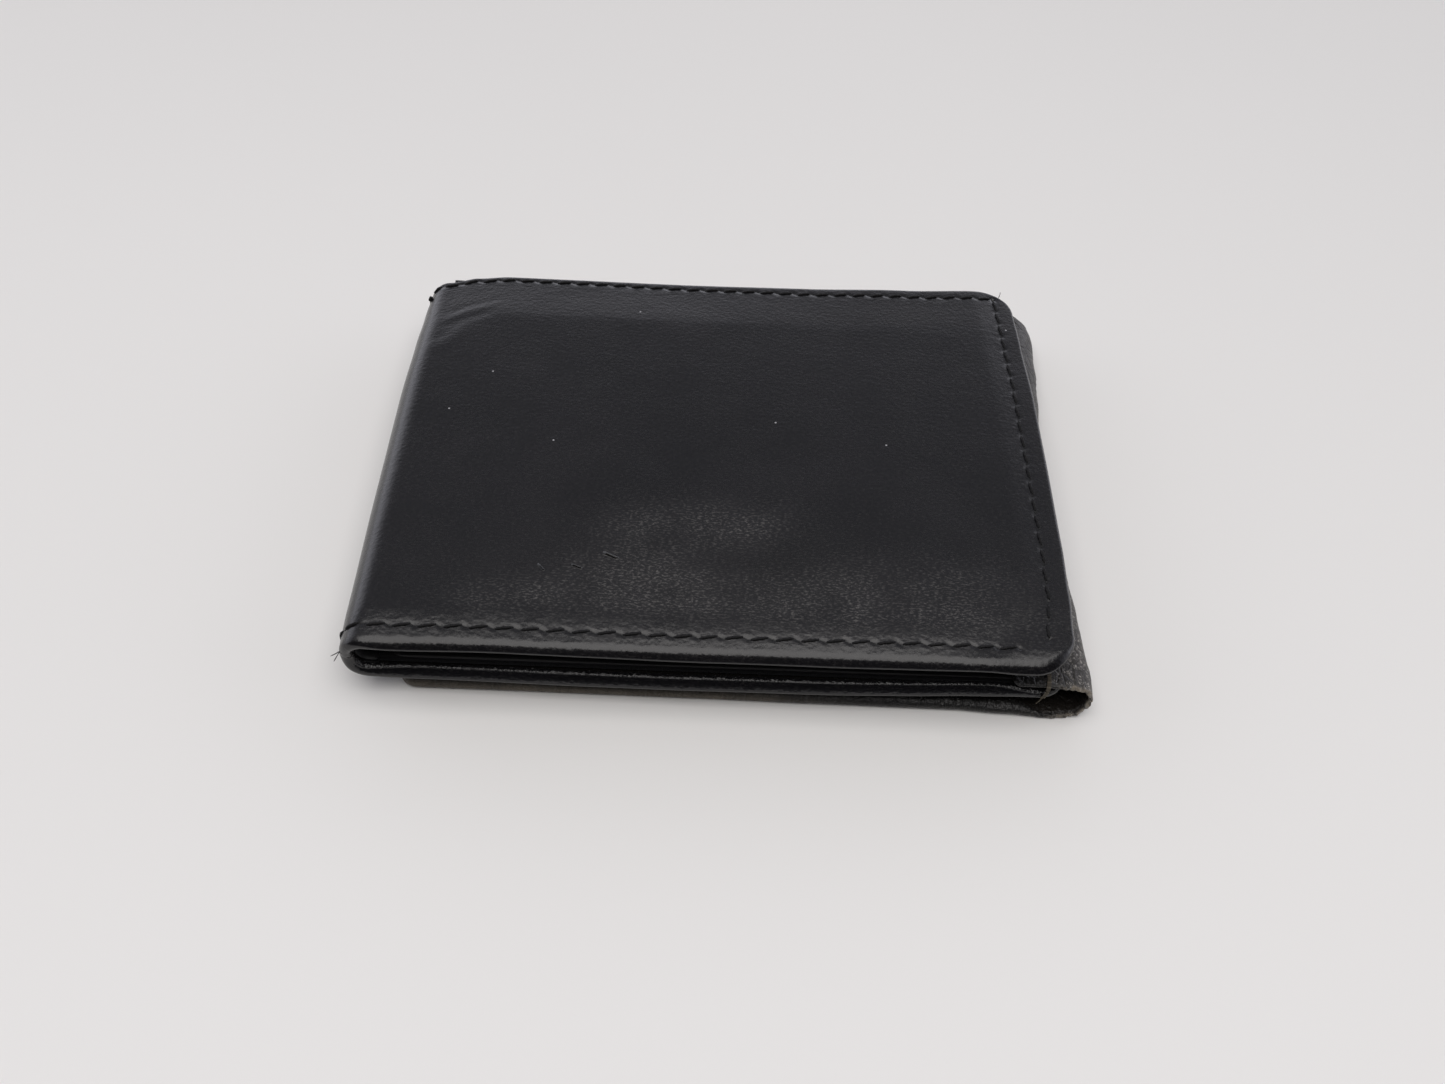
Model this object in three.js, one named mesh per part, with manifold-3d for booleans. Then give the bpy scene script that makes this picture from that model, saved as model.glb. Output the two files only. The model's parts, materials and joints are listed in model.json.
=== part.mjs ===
// Black leather bifold wallet, closed, lying on its fold-out ID flap.
// Millimetres, +Z up. The origin is the centre of the footprint on the surface the wallet lies on.
// +X runs from the main fold to the free edges, +Y from the sewn bottom edge to the open top edge.
//
// Three leaves lie on each other: the front leaf on top, the back leaf under it, joined by the main fold
// (the spine) on the left, and the ID flap under both, joined to the back leaf by a narrow fold on the right.
// Each fold is a strip between two parallel hinge axes, so that an opened leaf lies flat beside its neighbour.
import * as THREE from "three";
import { mergeVertices } from "three/addons/utils/BufferGeometryUtils.js";
import Module from "manifold-3d";

const wasm = await Module();
wasm.setup();

// Driving dimensions.
const LEAF_LENGTH = 112; // main fold's crest to the front leaf's free edge
const LEAF_DEPTH = 87.5;
const CORNER_RADIUS = 5;
const FRONT_TOP = 13; // outer face of the front leaf
const BACK_BOTTOM = 4; // outer face of the back leaf
const EDGE_CLEARANCE = 0.5; // the back leaf is this much shorter than the front leaf at the bottom edge
const LAYER_GAP = 0.04; // air between two layers that lie on each other

const OUTER_LEATHER = 0.9;
const ROLLED_EDGE_WIDTH = 1.3;
const ROLLED_EDGE_HEIGHT = 2.2;
const ROLL_RADIUS = 0.7;
const HEM_WIDTH = 8; // turned-over hem along the open top edge
const HEM_HEIGHT = 1.7;
const BOARD = 0.3;
const LINING = 0.15;
const BILL_SPACE = 0.5;
const PANEL_LEATHER = 0.5;
const POCKET_LEATHER = 0.4;

const POCKET_TOPS = [32, 20, 8]; // Y of each card slot's mouth
const POCKET_BOTTOM_INSET = 3;
const POCKET_FOLD_INSET = 6;
const POCKET_FREE_INSET = 4.5;

const PLATEAU_RISE = 0.5; // the worn-in bulge over the card pockets
const PLATEAU_SLOPE = 3;

const SEAM_INSET = 3.4;
const THREAD_WIDTH = 0.7;
const THREAD_HEIGHT = 0.22;
const GROOVE_WIDTH = 0.9;
const GROOVE_DEPTH = 0.3;

const FOLD_END_ANGLE = 8; // degrees of each fold's half circle left open at both ends
const FOLD_JOINT_GAP = 0.3;

const HINGE_LEATHER = 0.8;
const HINGE_TAB_WIDTH = 9.5; // the part of the flap's hinge sewn onto the back leaf
const FLAP_LENGTH_SHORT = 7.9; // the flap's free edge stops this far from the main fold's crest
const FLAP_NEAR_INSET = 0.4;
const FLAP_FAR_INSET = 1.75;
const FLAP_EDGE_HEIGHT = 2;
const WINDOW = { length: 82, depth: 52, frameOverlap: 4, thickness: 0.2 };
const CARD_SPACE = 0.46;
const FLAP_BOARD = 0.26;
const FLAP_BACK_LEATHER = 0.56;

// Worked out from the driving dimensions.
const NEAR = -LEAF_DEPTH / 2;
const FAR = LEAF_DEPTH / 2;
const MID_HEIGHT = (FRONT_TOP + BACK_BOTTOM) / 2;
const SPINE_RADIUS = (FRONT_TOP - BACK_BOTTOM) / 2;
const PANEL_DEPTH = OUTER_LEATHER + BOARD + LINING + 2 * LAYER_GAP + BILL_SPACE;
const HINGE_TOP = BACK_BOTTOM + PANEL_DEPTH + LINING + PANEL_LEATHER + 2 * LAYER_GAP + HINGE_LEATHER;
const HINGE_RADIUS = HINGE_TOP / 2;
const LENGTH = LEAF_LENGTH + HINGE_RADIUS;
const SPINE_X = -LENGTH / 2 + SPINE_RADIUS; // centre line of the main fold's half circle
const HINGE_X = LENGTH / 2 - HINGE_RADIUS; // centre line of the flap fold's half circle
const FLAP_FREE_X = -LENGTH / 2 + FLAP_LENGTH_SHORT;

const radians = THREE.MathUtils.degToRad;

// Colours and finishes.
const leather = new THREE.MeshStandardMaterial({ color: 0x1b1b1e, roughness: 0.5, metalness: 0 });
const innerLeather = new THREE.MeshStandardMaterial({ color: 0x202022, roughness: 0.55, metalness: 0 });
const wornLeather = new THREE.MeshStandardMaterial({ color: 0x4b4742, roughness: 0.7, metalness: 0 });
const lining = new THREE.MeshStandardMaterial({ color: 0x26262a, roughness: 0.9, metalness: 0 });
const board = new THREE.MeshStandardMaterial({ color: 0x6e6252, roughness: 0.95, metalness: 0 });
const thread = new THREE.MeshStandardMaterial({ color: 0x0e0e10, roughness: 0.8, metalness: 0 });
const looseThread = new THREE.MeshStandardMaterial({ color: 0x8d8274, roughness: 0.85, metalness: 0 });
const vinyl = new THREE.MeshStandardMaterial({
  color: 0xdfe6e8, roughness: 0.15, metalness: 0, transparent: true, opacity: 0.35,
});

// Solids.

function solidOf(geometry) {
  const bare = geometry.clone();
  bare.deleteAttribute("normal");
  bare.deleteAttribute("uv");
  const merged = mergeVertices(bare, 1e-4);
  return new wasm.Manifold(
    new wasm.Mesh({
      numProp: 3,
      vertProperties: merged.attributes.position.array,
      triVerts: new Uint32Array(merged.index.array),
    }),
  );
}

function geometryOf(solid) {
  const mesh = solid.getMesh();
  const geometry = new THREE.BufferGeometry();
  geometry.setAttribute("position", new THREE.BufferAttribute(mesh.vertProperties, 3));
  geometry.setIndex(new THREE.BufferAttribute(mesh.triVerts, 1));
  const flat = geometry.toNonIndexed();
  flat.computeVertexNormals();
  return flat;
}

// An upright slab of the shape between two heights. A rounding takes that radius off its edges.
function slab(shape, low, high, rounding = 0) {
  const geometry = new THREE.ExtrudeGeometry(shape, {
    depth: high - low - 2 * rounding,
    bevelEnabled: rounding > 0,
    bevelThickness: rounding,
    bevelSize: rounding,
    bevelOffset: -rounding,
    bevelSegments: 3,
    curveSegments: 10,
  });
  return geometry.translate(0, 0, low + rounding);
}

function box(x0, x1, y0, y1, z0, z1) {
  return new THREE.BoxGeometry(x1 - x0, y1 - y0, z1 - z0).translate(
    (x0 + x1) / 2, (y0 + y1) / 2, (z0 + z1) / 2,
  );
}

// The three sewn sides of a leaf as a line of points: bottom edge, free edge, top edge, moved in by inset.
function sewnSides(leaf, inset) {
  const way = Math.sign(leaf.freeX - leaf.foldX);
  const r = Math.max(CORNER_RADIUS - inset, 0.6);
  const freeX = leaf.freeX - way * inset;
  const nearY = leaf.nearY + inset;
  const farY = leaf.farY - inset;
  const cornerX = freeX - way * r;
  const out = way > 0 ? 0 : Math.PI;
  const path = new THREE.Path();
  path.moveTo(leaf.foldX, nearY);
  path.lineTo(cornerX, nearY);
  path.absarc(cornerX, nearY + r, r, way > 0 ? -Math.PI / 2 : 1.5 * Math.PI, out, way < 0);
  path.lineTo(freeX, farY - r);
  path.absarc(cornerX, farY - r, r, out, Math.PI / 2, way < 0);
  path.lineTo(leaf.foldX, farY);
  return path.getPoints(8);
}

const leafShape = (leaf, inset = 0) => new THREE.Shape(sewnSides(leaf, inset));

// A narrow band that follows the three sewn sides.
function seamShape(leaf, width) {
  const outer = sewnSides(leaf, SEAM_INSET - width / 2);
  const inner = sewnSides(leaf, SEAM_INSET + width / 2).reverse();
  return new THREE.Shape([...outer, ...inner]);
}

function rectangle(x0, x1, y0, y1, r) {
  const shape = new THREE.Shape();
  shape.moveTo(x0 + r, y0);
  shape.lineTo(x1 - r, y0);
  shape.absarc(x1 - r, y0 + r, r, -Math.PI / 2, 0);
  shape.lineTo(x1, y1 - r);
  shape.absarc(x1 - r, y1 - r, r, 0, Math.PI / 2);
  shape.lineTo(x0 + r, y1);
  shape.absarc(x0 + r, y1 - r, r, Math.PI / 2, Math.PI);
  shape.lineTo(x0, y0 + r);
  shape.absarc(x0 + r, y0 + r, r, Math.PI, 1.5 * Math.PI);
  return shape;
}

// Part of a half tube along Y: crest is the side it bulges to, -1 for -X and 1 for +X.
function foldStrip(x, z, radius, thickness, crest, y0, y1) {
  const reach = Math.PI / 2 - radians(FOLD_END_ANGLE);
  const middle = crest < 0 ? Math.PI : 0;
  const shape = new THREE.Shape();
  shape.absarc(x, z, radius, middle - reach, middle + reach);
  shape.absarc(x, z, radius - thickness, middle + reach, middle - reach, true);
  const geometry = new THREE.ExtrudeGeometry(shape, { depth: y1 - y0, bevelEnabled: false, curveSegments: 16 });
  return geometry.rotateX(Math.PI / 2).translate(0, y1, 0);
}

// Assembly.

const wallet = new THREE.Group();

function addNode(name, geometry, material) {
  const mesh = new THREE.Mesh(geometry, material);
  mesh.name = name;
  wallet.add(mesh);
}

// Depths are measured from a leaf's outer face inwards: down in the front leaf, up in the back leaf.
function heights(leaf, from, to) {
  const a = leaf.outerZ + leaf.inward * from;
  const b = leaf.outerZ + leaf.inward * to;
  return [Math.min(a, b), Math.max(a, b)];
}

function addLayer(leaf, name, shape, from, thickness, material) {
  addNode(leaf.name + "_" + name, slab(shape, ...heights(leaf, from, from + thickness)), material);
  return from + thickness + LAYER_GAP;
}

// The outer leather with its rolled bottom and free edges, its hem along the top edge and its stitch groove.
function outerLeather(leaf) {
  const whole = { ...leaf, foldX: leaf.foldX - FOLD_JOINT_GAP - 2 * ROLL_RADIUS };
  let solid = solidOf(slab(leafShape(whole), ...heights(leaf, 0, ROLLED_EDGE_HEIGHT), ROLL_RADIUS));
  const [low, high] = heights(leaf, OUTER_LEATHER, ROLLED_EDGE_HEIGHT + 1);
  const hemSide = { ...whole, foldX: whole.foldX - 1, farY: leaf.farY + 10 };
  const inside = { ...hemSide, farY: leaf.farY - HEM_WIDTH + ROLLED_EDGE_WIDTH };
  solid = solid.subtract(solidOf(slab(leafShape(inside, ROLLED_EDGE_WIDTH), low, high)));
  const [hemLow, hemHigh] = heights(leaf, HEM_HEIGHT, ROLLED_EDGE_HEIGHT + 1);
  solid = solid.subtract(solidOf(slab(leafShape(hemSide, ROLLED_EDGE_WIDTH), hemLow, hemHigh)));
  const beyond = leaf.foldX - FOLD_JOINT_GAP;
  solid = solid.subtract(solidOf(box(beyond - 10, beyond, NEAR - 1, FAR + 1, leaf.outerZ - 5, leaf.outerZ + 5)));
  if (leaf.plateau) {
    const { x0, x1, y0, y1, radius } = leaf.plateau;
    const shape = rectangle(x0, x1, y0, y1, radius);
    const pad = new THREE.ExtrudeGeometry(shape, {
      depth: 0.02, bevelThickness: PLATEAU_RISE, bevelSize: PLATEAU_SLOPE, bevelOffset: -PLATEAU_SLOPE,
      bevelSegments: 3, curveSegments: 8,
    });
    solid = solid.add(solidOf(pad.translate(0, 0, leaf.outerZ - 0.02)));
  }
  const grooved = { ...leaf, foldX: leaf.foldX - 2 };
  solid = solid.subtract(solidOf(slab(seamShape(grooved, GROOVE_WIDTH), ...heights(leaf, -1, GROOVE_DEPTH))));
  return geometryOf(solid);
}

function addSeamThread(leaf) {
  const shape = seamShape(leaf, THREAD_WIDTH);
  const from = GROOVE_DEPTH - LAYER_GAP - THREAD_HEIGHT;
  addLayer(leaf, "seam_thread", shape, from, THREAD_HEIGHT, thread);
}

// Everything sewn into the front or the back leaf, from the outside in. Returns the depth of the innermost face.
function addLeaf(leaf) {
  addNode(leaf.name + "_outer_leather", outerLeather(leaf), leather);
  addSeamThread(leaf);

  const underHem = leaf.farY - HEM_WIDTH - 0.1;
  const boardShape = leafShape({ ...leaf, foldX: leaf.foldX + 2.5, farY: underHem + 2.2 }, 2.5);
  let depth = addLayer(leaf, "stiffener_board", boardShape, OUTER_LEATHER + LAYER_GAP, BOARD, board);
  const liningShape = leafShape({ ...leaf, foldX: leaf.foldX + 0.4, farY: underHem + 1.5 }, 1.5);
  depth = addLayer(leaf, "bill_lining", liningShape, depth, LINING, lining);

  depth = PANEL_DEPTH;
  const panelSides = { ...leaf, foldX: leaf.foldX + 0.6 };
  depth = addLayer(leaf, "panel_lining", leafShape(panelSides, 1.6), depth, LINING, lining);
  const panelShape = leafShape({ ...panelSides, foldX: leaf.foldX + 2 }, 1.6);
  depth = addLayer(leaf, "panel_leather", panelShape, depth, PANEL_LEATHER, innerLeather);

  POCKET_TOPS.forEach((top, i) => {
    const shape = rectangle(
      leaf.foldX + POCKET_FOLD_INSET, leaf.pocketFreeX, leaf.nearY + POCKET_BOTTOM_INSET, top, 0.8,
    );
    depth = addLayer(leaf, "card_pocket_" + (i + 1), shape, depth, POCKET_LEATHER, innerLeather);
  });
}

const frontLeaf = {
  name: "front",
  foldX: SPINE_X,
  freeX: -LENGTH / 2 + LEAF_LENGTH,
  nearY: NEAR,
  farY: FAR,
  outerZ: FRONT_TOP,
  inward: -1,
  pocketFreeX: -LENGTH / 2 + LEAF_LENGTH - POCKET_FREE_INSET,
  plateau: { x0: SPINE_X + 1.5, x1: 49.5, y0: NEAR + 5.5, y1: 34.5, radius: 12 },
};

const backLeaf = {
  name: "back",
  foldX: SPINE_X,
  freeX: HINGE_X - 0.3,
  nearY: NEAR + EDGE_CLEARANCE,
  farY: FAR,
  outerZ: BACK_BOTTOM,
  inward: 1,
  pocketFreeX: HINGE_X - HINGE_TAB_WIDTH - 0.5,
};

addLeaf(frontLeaf);
addLeaf(backLeaf);

// The main fold: outer leather, the bill compartment's lining glued to it, and the lining between the panels.
function addSpine() {
  let outer = solidOf(foldStrip(SPINE_X, MID_HEIGHT, SPINE_RADIUS, OUTER_LEATHER, -1, NEAR, FAR));
  for (const [name, seamY] of [["bottom", NEAR + SEAM_INSET], ["top", FAR - SEAM_INSET]]) {
    const side = GROOVE_WIDTH / 2;
    const groove = foldStrip(
      SPINE_X, MID_HEIGHT, SPINE_RADIUS + 1, GROOVE_DEPTH + 1, -1, seamY - side, seamY + side,
    );
    outer = outer.subtract(solidOf(groove));
    const threadRadius = SPINE_RADIUS - GROOVE_DEPTH + LAYER_GAP + THREAD_HEIGHT;
    const bead = foldStrip(
      SPINE_X, MID_HEIGHT, threadRadius, THREAD_HEIGHT, -1, seamY - THREAD_WIDTH / 2, seamY + THREAD_WIDTH / 2,
    );
    addNode("spine_seam_thread_" + name, bead, thread);
  }
  addNode("spine_outer_leather", geometryOf(outer), leather);
  const billRadius = SPINE_RADIUS - OUTER_LEATHER - LAYER_GAP;
  addNode(
    "spine_bill_lining",
    foldStrip(SPINE_X, MID_HEIGHT, billRadius, LINING, -1, NEAR + 1.5, FAR - HEM_WIDTH),
    lining,
  );
  const panelRadius = SPINE_RADIUS - PANEL_DEPTH;
  addNode(
    "spine_panel_lining",
    foldStrip(SPINE_X, MID_HEIGHT, panelRadius, 2 * LINING, -1, NEAR + 1.5, FAR - 2),
    lining,
  );
}

addSpine();

// The flap's hinge: a tab sewn onto the back leaf's panel, and the leather that folds round its free edge.
const flapNear = NEAR + FLAP_NEAR_INSET;
const flapFar = FAR - FLAP_FAR_INSET;

function addFlapHinge() {
  const tabX = HINGE_X - HINGE_TAB_WIDTH;
  const tab = rectangle(tabX, HINGE_X + FOLD_JOINT_GAP, flapNear, flapFar, 0.3);
  const grooveX = tabX + 2.2;
  const cut = box(
    grooveX - GROOVE_WIDTH / 2, grooveX + GROOVE_WIDTH / 2, flapNear - 1, flapFar + 1,
    HINGE_TOP - GROOVE_DEPTH, HINGE_TOP + 1,
  );
  const tabSolid = solidOf(slab(tab, HINGE_TOP - HINGE_LEATHER, HINGE_TOP)).subtract(solidOf(cut));
  addNode("hinge_tab_leather", geometryOf(tabSolid), wornLeather);

  const beadLow = HINGE_TOP - GROOVE_DEPTH + LAYER_GAP;
  const bead = box(
    grooveX - THREAD_WIDTH / 2, grooveX + THREAD_WIDTH / 2, flapNear + 1.5, flapFar - 1.5,
    beadLow, beadLow + THREAD_HEIGHT,
  );
  addNode("hinge_tab_thread", bead, thread);

  addNode(
    "hinge_fold_leather",
    foldStrip(HINGE_X, HINGE_RADIUS, HINGE_RADIUS, HINGE_LEATHER, 1, flapNear, flapFar),
    wornLeather,
  );
}

addFlapHinge();

// The tack of thread that holds the hinge's end, looped over the back leaf's bottom edge.
function addBarTack() {
  const gap = 0.06;
  const thick = 0.3;
  const width = 0.9;
  const x = HINGE_X - 4.4;
  const top = HINGE_TOP + gap;
  const edge = flapNear - gap;
  const low = BACK_BOTTOM + 0.3;
  const hook = new THREE.Shape();
  hook.moveTo(edge - thick, low);
  hook.lineTo(edge, low);
  hook.lineTo(edge, top);
  hook.lineTo(edge + 3, top);
  hook.lineTo(edge + 3, top + thick);
  hook.lineTo(edge - thick, top + thick);
  const geometry = new THREE.ExtrudeGeometry(hook, { depth: width, bevelEnabled: false });
  geometry.rotateX(Math.PI / 2).rotateZ(Math.PI / 2);
  addNode("hinge_bar_tack", geometry.translate(x - width / 2, 0, 0), looseThread);
}

addBarTack();

// The ID flap: face leather with a window, clear vinyl, a card space, a board, the back leather and one pocket.
function addFlap() {
  const flap = {
    name: "flap",
    foldX: HINGE_X,
    freeX: FLAP_FREE_X,
    nearY: flapNear,
    farY: flapFar,
    outerZ: 0,
    inward: 1,
  };
  const middleX = (flap.foldX + flap.freeX) / 2;
  const middleY = (flapNear + flapFar) / 2;
  const centred = (length, depth, r) =>
    rectangle(middleX - length / 2, middleX + length / 2, middleY - depth / 2, middleY + depth / 2, r);

  const whole = { ...flap, foldX: flap.foldX + 5 };
  let face = solidOf(slab(leafShape(whole), 0, FLAP_EDGE_HEIGHT, ROLL_RADIUS));
  const inside = leafShape({ ...whole, foldX: whole.foldX + 1 }, ROLLED_EDGE_WIDTH);
  face = face.subtract(solidOf(slab(inside, HINGE_LEATHER, FLAP_EDGE_HEIGHT + 1)));
  face = face.subtract(solidOf(slab(centred(WINDOW.length, WINDOW.depth, 3), -1, HINGE_LEATHER + 1)));
  const beyond = flap.foldX + FOLD_JOINT_GAP;
  face = face.subtract(solidOf(box(beyond, beyond + 10, NEAR - 1, FAR + 1, -1, FLAP_EDGE_HEIGHT + 1)));
  const grooved = { ...flap, foldX: flap.foldX + 2 };
  face = face.subtract(solidOf(slab(seamShape(grooved, GROOVE_WIDTH), -1, GROOVE_DEPTH)));
  addNode("flap_face_leather", geometryOf(face), wornLeather);
  addSeamThread(flap);

  const overlap = 2 * WINDOW.frameOverlap;
  const windowShape = centred(WINDOW.length + overlap, WINDOW.depth + overlap, 2);
  let depth = HINGE_LEATHER + LAYER_GAP;
  depth = addLayer(flap, "id_window", windowShape, depth, WINDOW.thickness, vinyl);
  depth += CARD_SPACE;
  const sides = { ...flap, foldX: flap.foldX - 2 };
  depth = addLayer(flap, "stiffener_board", leafShape(sides, 2.2), depth, FLAP_BOARD, board);
  depth = addLayer(flap, "back_leather", leafShape(sides, 1.5), depth, FLAP_BACK_LEATHER, innerLeather);
  const pocket = rectangle(flap.freeX + 5, flap.foldX - 8, flapNear + 4.6, 18, 0.8);
  addLayer(flap, "card_pocket", pocket, depth, POCKET_LEATHER, innerLeather);
}

addFlap();

export default wallet;
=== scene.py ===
"""Looks of a worn black leather bifold wallet, lying closed on its fold-out ID flap.

Every leather part is one sheet laid round its fold: a point of the sheet is (s, y, depth), where s runs
along the outer face from the fold's crest, y along the fold, and depth goes into the leather.
Lengths are in millimetres until a mesh is made.
"""
import json
import math

import bpy
import numpy as np
from mathutils import Matrix, Vector


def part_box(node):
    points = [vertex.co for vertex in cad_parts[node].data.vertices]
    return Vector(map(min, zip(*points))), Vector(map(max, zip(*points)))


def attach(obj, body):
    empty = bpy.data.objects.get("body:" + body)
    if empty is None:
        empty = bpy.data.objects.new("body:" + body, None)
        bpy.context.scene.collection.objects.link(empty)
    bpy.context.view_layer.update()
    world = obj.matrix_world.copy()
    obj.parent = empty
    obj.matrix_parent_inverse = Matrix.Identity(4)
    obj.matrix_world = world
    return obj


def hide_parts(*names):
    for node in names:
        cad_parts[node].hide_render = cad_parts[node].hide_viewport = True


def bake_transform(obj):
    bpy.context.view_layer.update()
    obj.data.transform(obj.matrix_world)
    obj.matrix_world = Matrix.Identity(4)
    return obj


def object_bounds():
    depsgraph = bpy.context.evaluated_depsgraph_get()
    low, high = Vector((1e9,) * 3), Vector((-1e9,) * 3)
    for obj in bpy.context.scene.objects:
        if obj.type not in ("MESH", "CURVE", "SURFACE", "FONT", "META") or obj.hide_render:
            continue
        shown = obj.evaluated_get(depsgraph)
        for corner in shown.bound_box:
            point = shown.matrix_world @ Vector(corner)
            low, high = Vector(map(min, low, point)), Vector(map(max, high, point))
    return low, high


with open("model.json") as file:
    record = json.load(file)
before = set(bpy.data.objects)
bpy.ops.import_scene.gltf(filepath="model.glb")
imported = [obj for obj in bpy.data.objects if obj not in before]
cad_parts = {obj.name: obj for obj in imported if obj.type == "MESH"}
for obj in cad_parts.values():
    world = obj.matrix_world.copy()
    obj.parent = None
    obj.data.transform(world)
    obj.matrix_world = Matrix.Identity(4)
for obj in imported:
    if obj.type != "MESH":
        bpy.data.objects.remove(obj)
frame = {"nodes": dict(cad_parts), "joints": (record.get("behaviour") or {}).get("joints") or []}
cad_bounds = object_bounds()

MM = 0.001
QUARTER = math.pi / 2
UV_MM = 100.0  # millimetres of leather in one unit of the UV map


# ---------------------------------------------------------------- camera

TARGET = Vector((-0.17, -11.23, 0.0)) * MM
DISTANCE = 215.7 * MM
AZIMUTH, ELEVATION, ROLL = (math.radians(a) for a in (-2.09, 50.40, 3.88))
LENS = 31.14


def add_camera():
    back = Vector((
        math.sin(AZIMUTH) * math.cos(ELEVATION),
        -math.cos(AZIMUTH) * math.cos(ELEVATION),
        math.sin(ELEVATION),
    ))
    side = (-back).cross(Vector((0, 0, 1))).normalized()
    up = side.cross(-back)
    right = math.cos(ROLL) * side + math.sin(ROLL) * up
    up = math.cos(ROLL) * up - math.sin(ROLL) * side
    camera = bpy.data.objects.new("camera", bpy.data.cameras.new("camera"))
    camera.data.sensor_width = 36.0
    camera.data.lens = LENS
    camera.data.clip_start = 0.005
    camera.data.clip_end = 20.0
    turn = Matrix((right, up, back)).transposed().to_4x4()
    camera.matrix_world = Matrix.Translation(TARGET + back * DISTANCE) @ turn
    bpy.context.scene.collection.objects.link(camera)
    bpy.context.scene.camera = camera


add_camera()


# ---------------------------------------------------------------- sizes from the frame

def node_box(name):
    low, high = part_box(name)
    return np.array(low) / MM, np.array(high) / MM


joint_at = {j["name"]: np.array(j["pos_m"]) / MM for j in frame["joints"]}
bounds_low, bounds_high = (np.array(v) / MM for v in cad_bounds)

back_low, back_high = node_box("back_outer_leather")
front_low, front_high = node_box("front_outer_leather")
flap_low, flap_high = node_box("flap_face_leather")
tab_low, tab_high = node_box("hinge_tab_leather")
window_low, window_high = node_box("flap_id_window")

SPINE_MIDDLE = (joint_at["spine_fold"][2] + joint_at["front_leaf_fold"][2]) / 2
SPINE_RADIUS = SPINE_MIDDLE - back_low[2]
SPINE_X = bounds_low[0] + SPINE_RADIUS
HINGE_RADIUS = tab_high[2] / 2
HINGE_X = bounds_high[0] - HINGE_RADIUS
NEAR, FAR = front_low[1], front_high[1]
FRONT_TOP = SPINE_MIDDLE + SPINE_RADIUS


# ---------------------------------------------------------------- small maths

def ease(t):
    t = np.clip(t, 0.0, 1.0)
    return t * t * (3 - 2 * t)


def curve(points):
    """A smooth function through (x, value) points."""
    xs, values = (np.array(v, float) for v in zip(*points))

    def at(x):
        x = np.clip(np.asarray(x, float), xs[0], xs[-1])
        i = np.clip(np.searchsorted(xs, x, side="right") - 1, 0, len(xs) - 2)
        t = ease((x - xs[i]) / (xs[i + 1] - xs[i]))
        return values[i] * (1 - t) + values[i + 1] * t

    return at


def ripples(seed, wavelength, count=14):
    """Smooth random waves in two directions, from about -1 to 1."""
    rng = np.random.default_rng(seed)
    heading = rng.uniform(0, 2 * np.pi, count)
    number = 2 * np.pi / wavelength * rng.uniform(0.6, 1.7, count)
    phase = rng.uniform(0, 2 * np.pi, count)

    def at(x, y):
        total = 0.0
        for a, k, p in zip(heading, number, phase):
            total = total + np.cos(k * (x * np.cos(a) + y * np.sin(a)) + p)
        return total * 0.6 / math.sqrt(count)

    return at


def box_distance(x, y, x0, x1, y0, y1, radius):
    """Distance from inside to a rounded rectangle's outline: positive inside."""
    dx = np.abs(x - (x0 + x1) / 2) - ((x1 - x0) / 2 - radius)
    dy = np.abs(y - (y0 + y1) / 2) - ((y1 - y0) / 2 - radius)
    outside = np.hypot(np.maximum(dx, 0), np.maximum(dy, 0))
    return radius - outside - np.minimum(np.maximum(dx, dy), 0)


def mound(x, y, cx, cy, length, width, angle):
    """1 on a short line's middle, falling to 0 round it."""
    c, s = math.cos(math.radians(angle)), math.sin(math.radians(angle))
    u = ((x - cx) * c + (y - cy) * s) / (length / 2)
    v = (-(x - cx) * s + (y - cy) * c) / (width / 2)
    return np.exp(-(u ** 4) - v * v)


def mounds(x, y, table):
    """The sum of mounds given as (height, middle's x and y, length, width, angle)."""
    return sum(height * mound(x, y, *place) for height, *place in table)


def round_corner(u, v):
    """Squeezes a square corner, where u and v run from 0 to 1, into a quarter of a disc."""
    inside = (u > 0) & (v > 0)
    u1 = np.where(inside, u * np.sqrt(np.maximum(1 - v * v / 2, 0)), u)
    v1 = np.where(inside, v * np.sqrt(np.maximum(1 - u * u / 2, 0)), v)
    return inside, u1, v1


# ---------------------------------------------------------------- meshes

def link(name, points, faces, material, uv=None, fields=None, rim=None):
    mesh = bpy.data.meshes.new(name)
    mesh.from_pydata((np.asarray(points) * MM).tolist(), [], [list(map(int, f)) for f in faces])
    if uv is not None:
        layer = mesh.uv_layers.new(name="leather")
        corner = np.zeros(len(mesh.loops), np.int32)
        mesh.loops.foreach_get("vertex_index", corner)
        layer.data.foreach_set("uv", np.asarray(uv, np.float32)[corner].ravel())
    for key, values in (fields or {}).items():
        attribute = mesh.attributes.new(key, "FLOAT", "POINT")
        attribute.data.foreach_set("value", np.asarray(values, np.float32))
    mesh.polygons.foreach_set("use_smooth", np.ones(len(mesh.polygons), bool))
    if rim is not None:
        ends = np.zeros(2 * len(mesh.edges), np.int32)
        mesh.edges.foreach_get("vertices", ends)
        ends = np.sort(ends.reshape(-1, 2), 1)
        rim = np.sort(rim, 1)
        sharp = np.isin(ends[:, 0] * len(points) + ends[:, 1], rim[:, 0] * len(points) + rim[:, 1])
        mesh.attributes.new("sharp_edge", "BOOLEAN", "EDGE").data.foreach_set("value", sharp)
    mesh.materials.append(material)
    mesh.validate()
    mesh.update()
    thing = bpy.data.objects.new(name, mesh)
    bpy.context.scene.collection.objects.link(thing)
    return thing


def vertex_normals(points, faces):
    a, b, c, d = (points[faces[:, k]] for k in range(4))
    across = np.cross(c - a, d - b)
    total = np.zeros_like(points)
    for k in range(4):
        np.add.at(total, faces[:, k], across)
    return total / np.maximum(np.linalg.norm(total, axis=1, keepdims=True), 1e-12)


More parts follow.
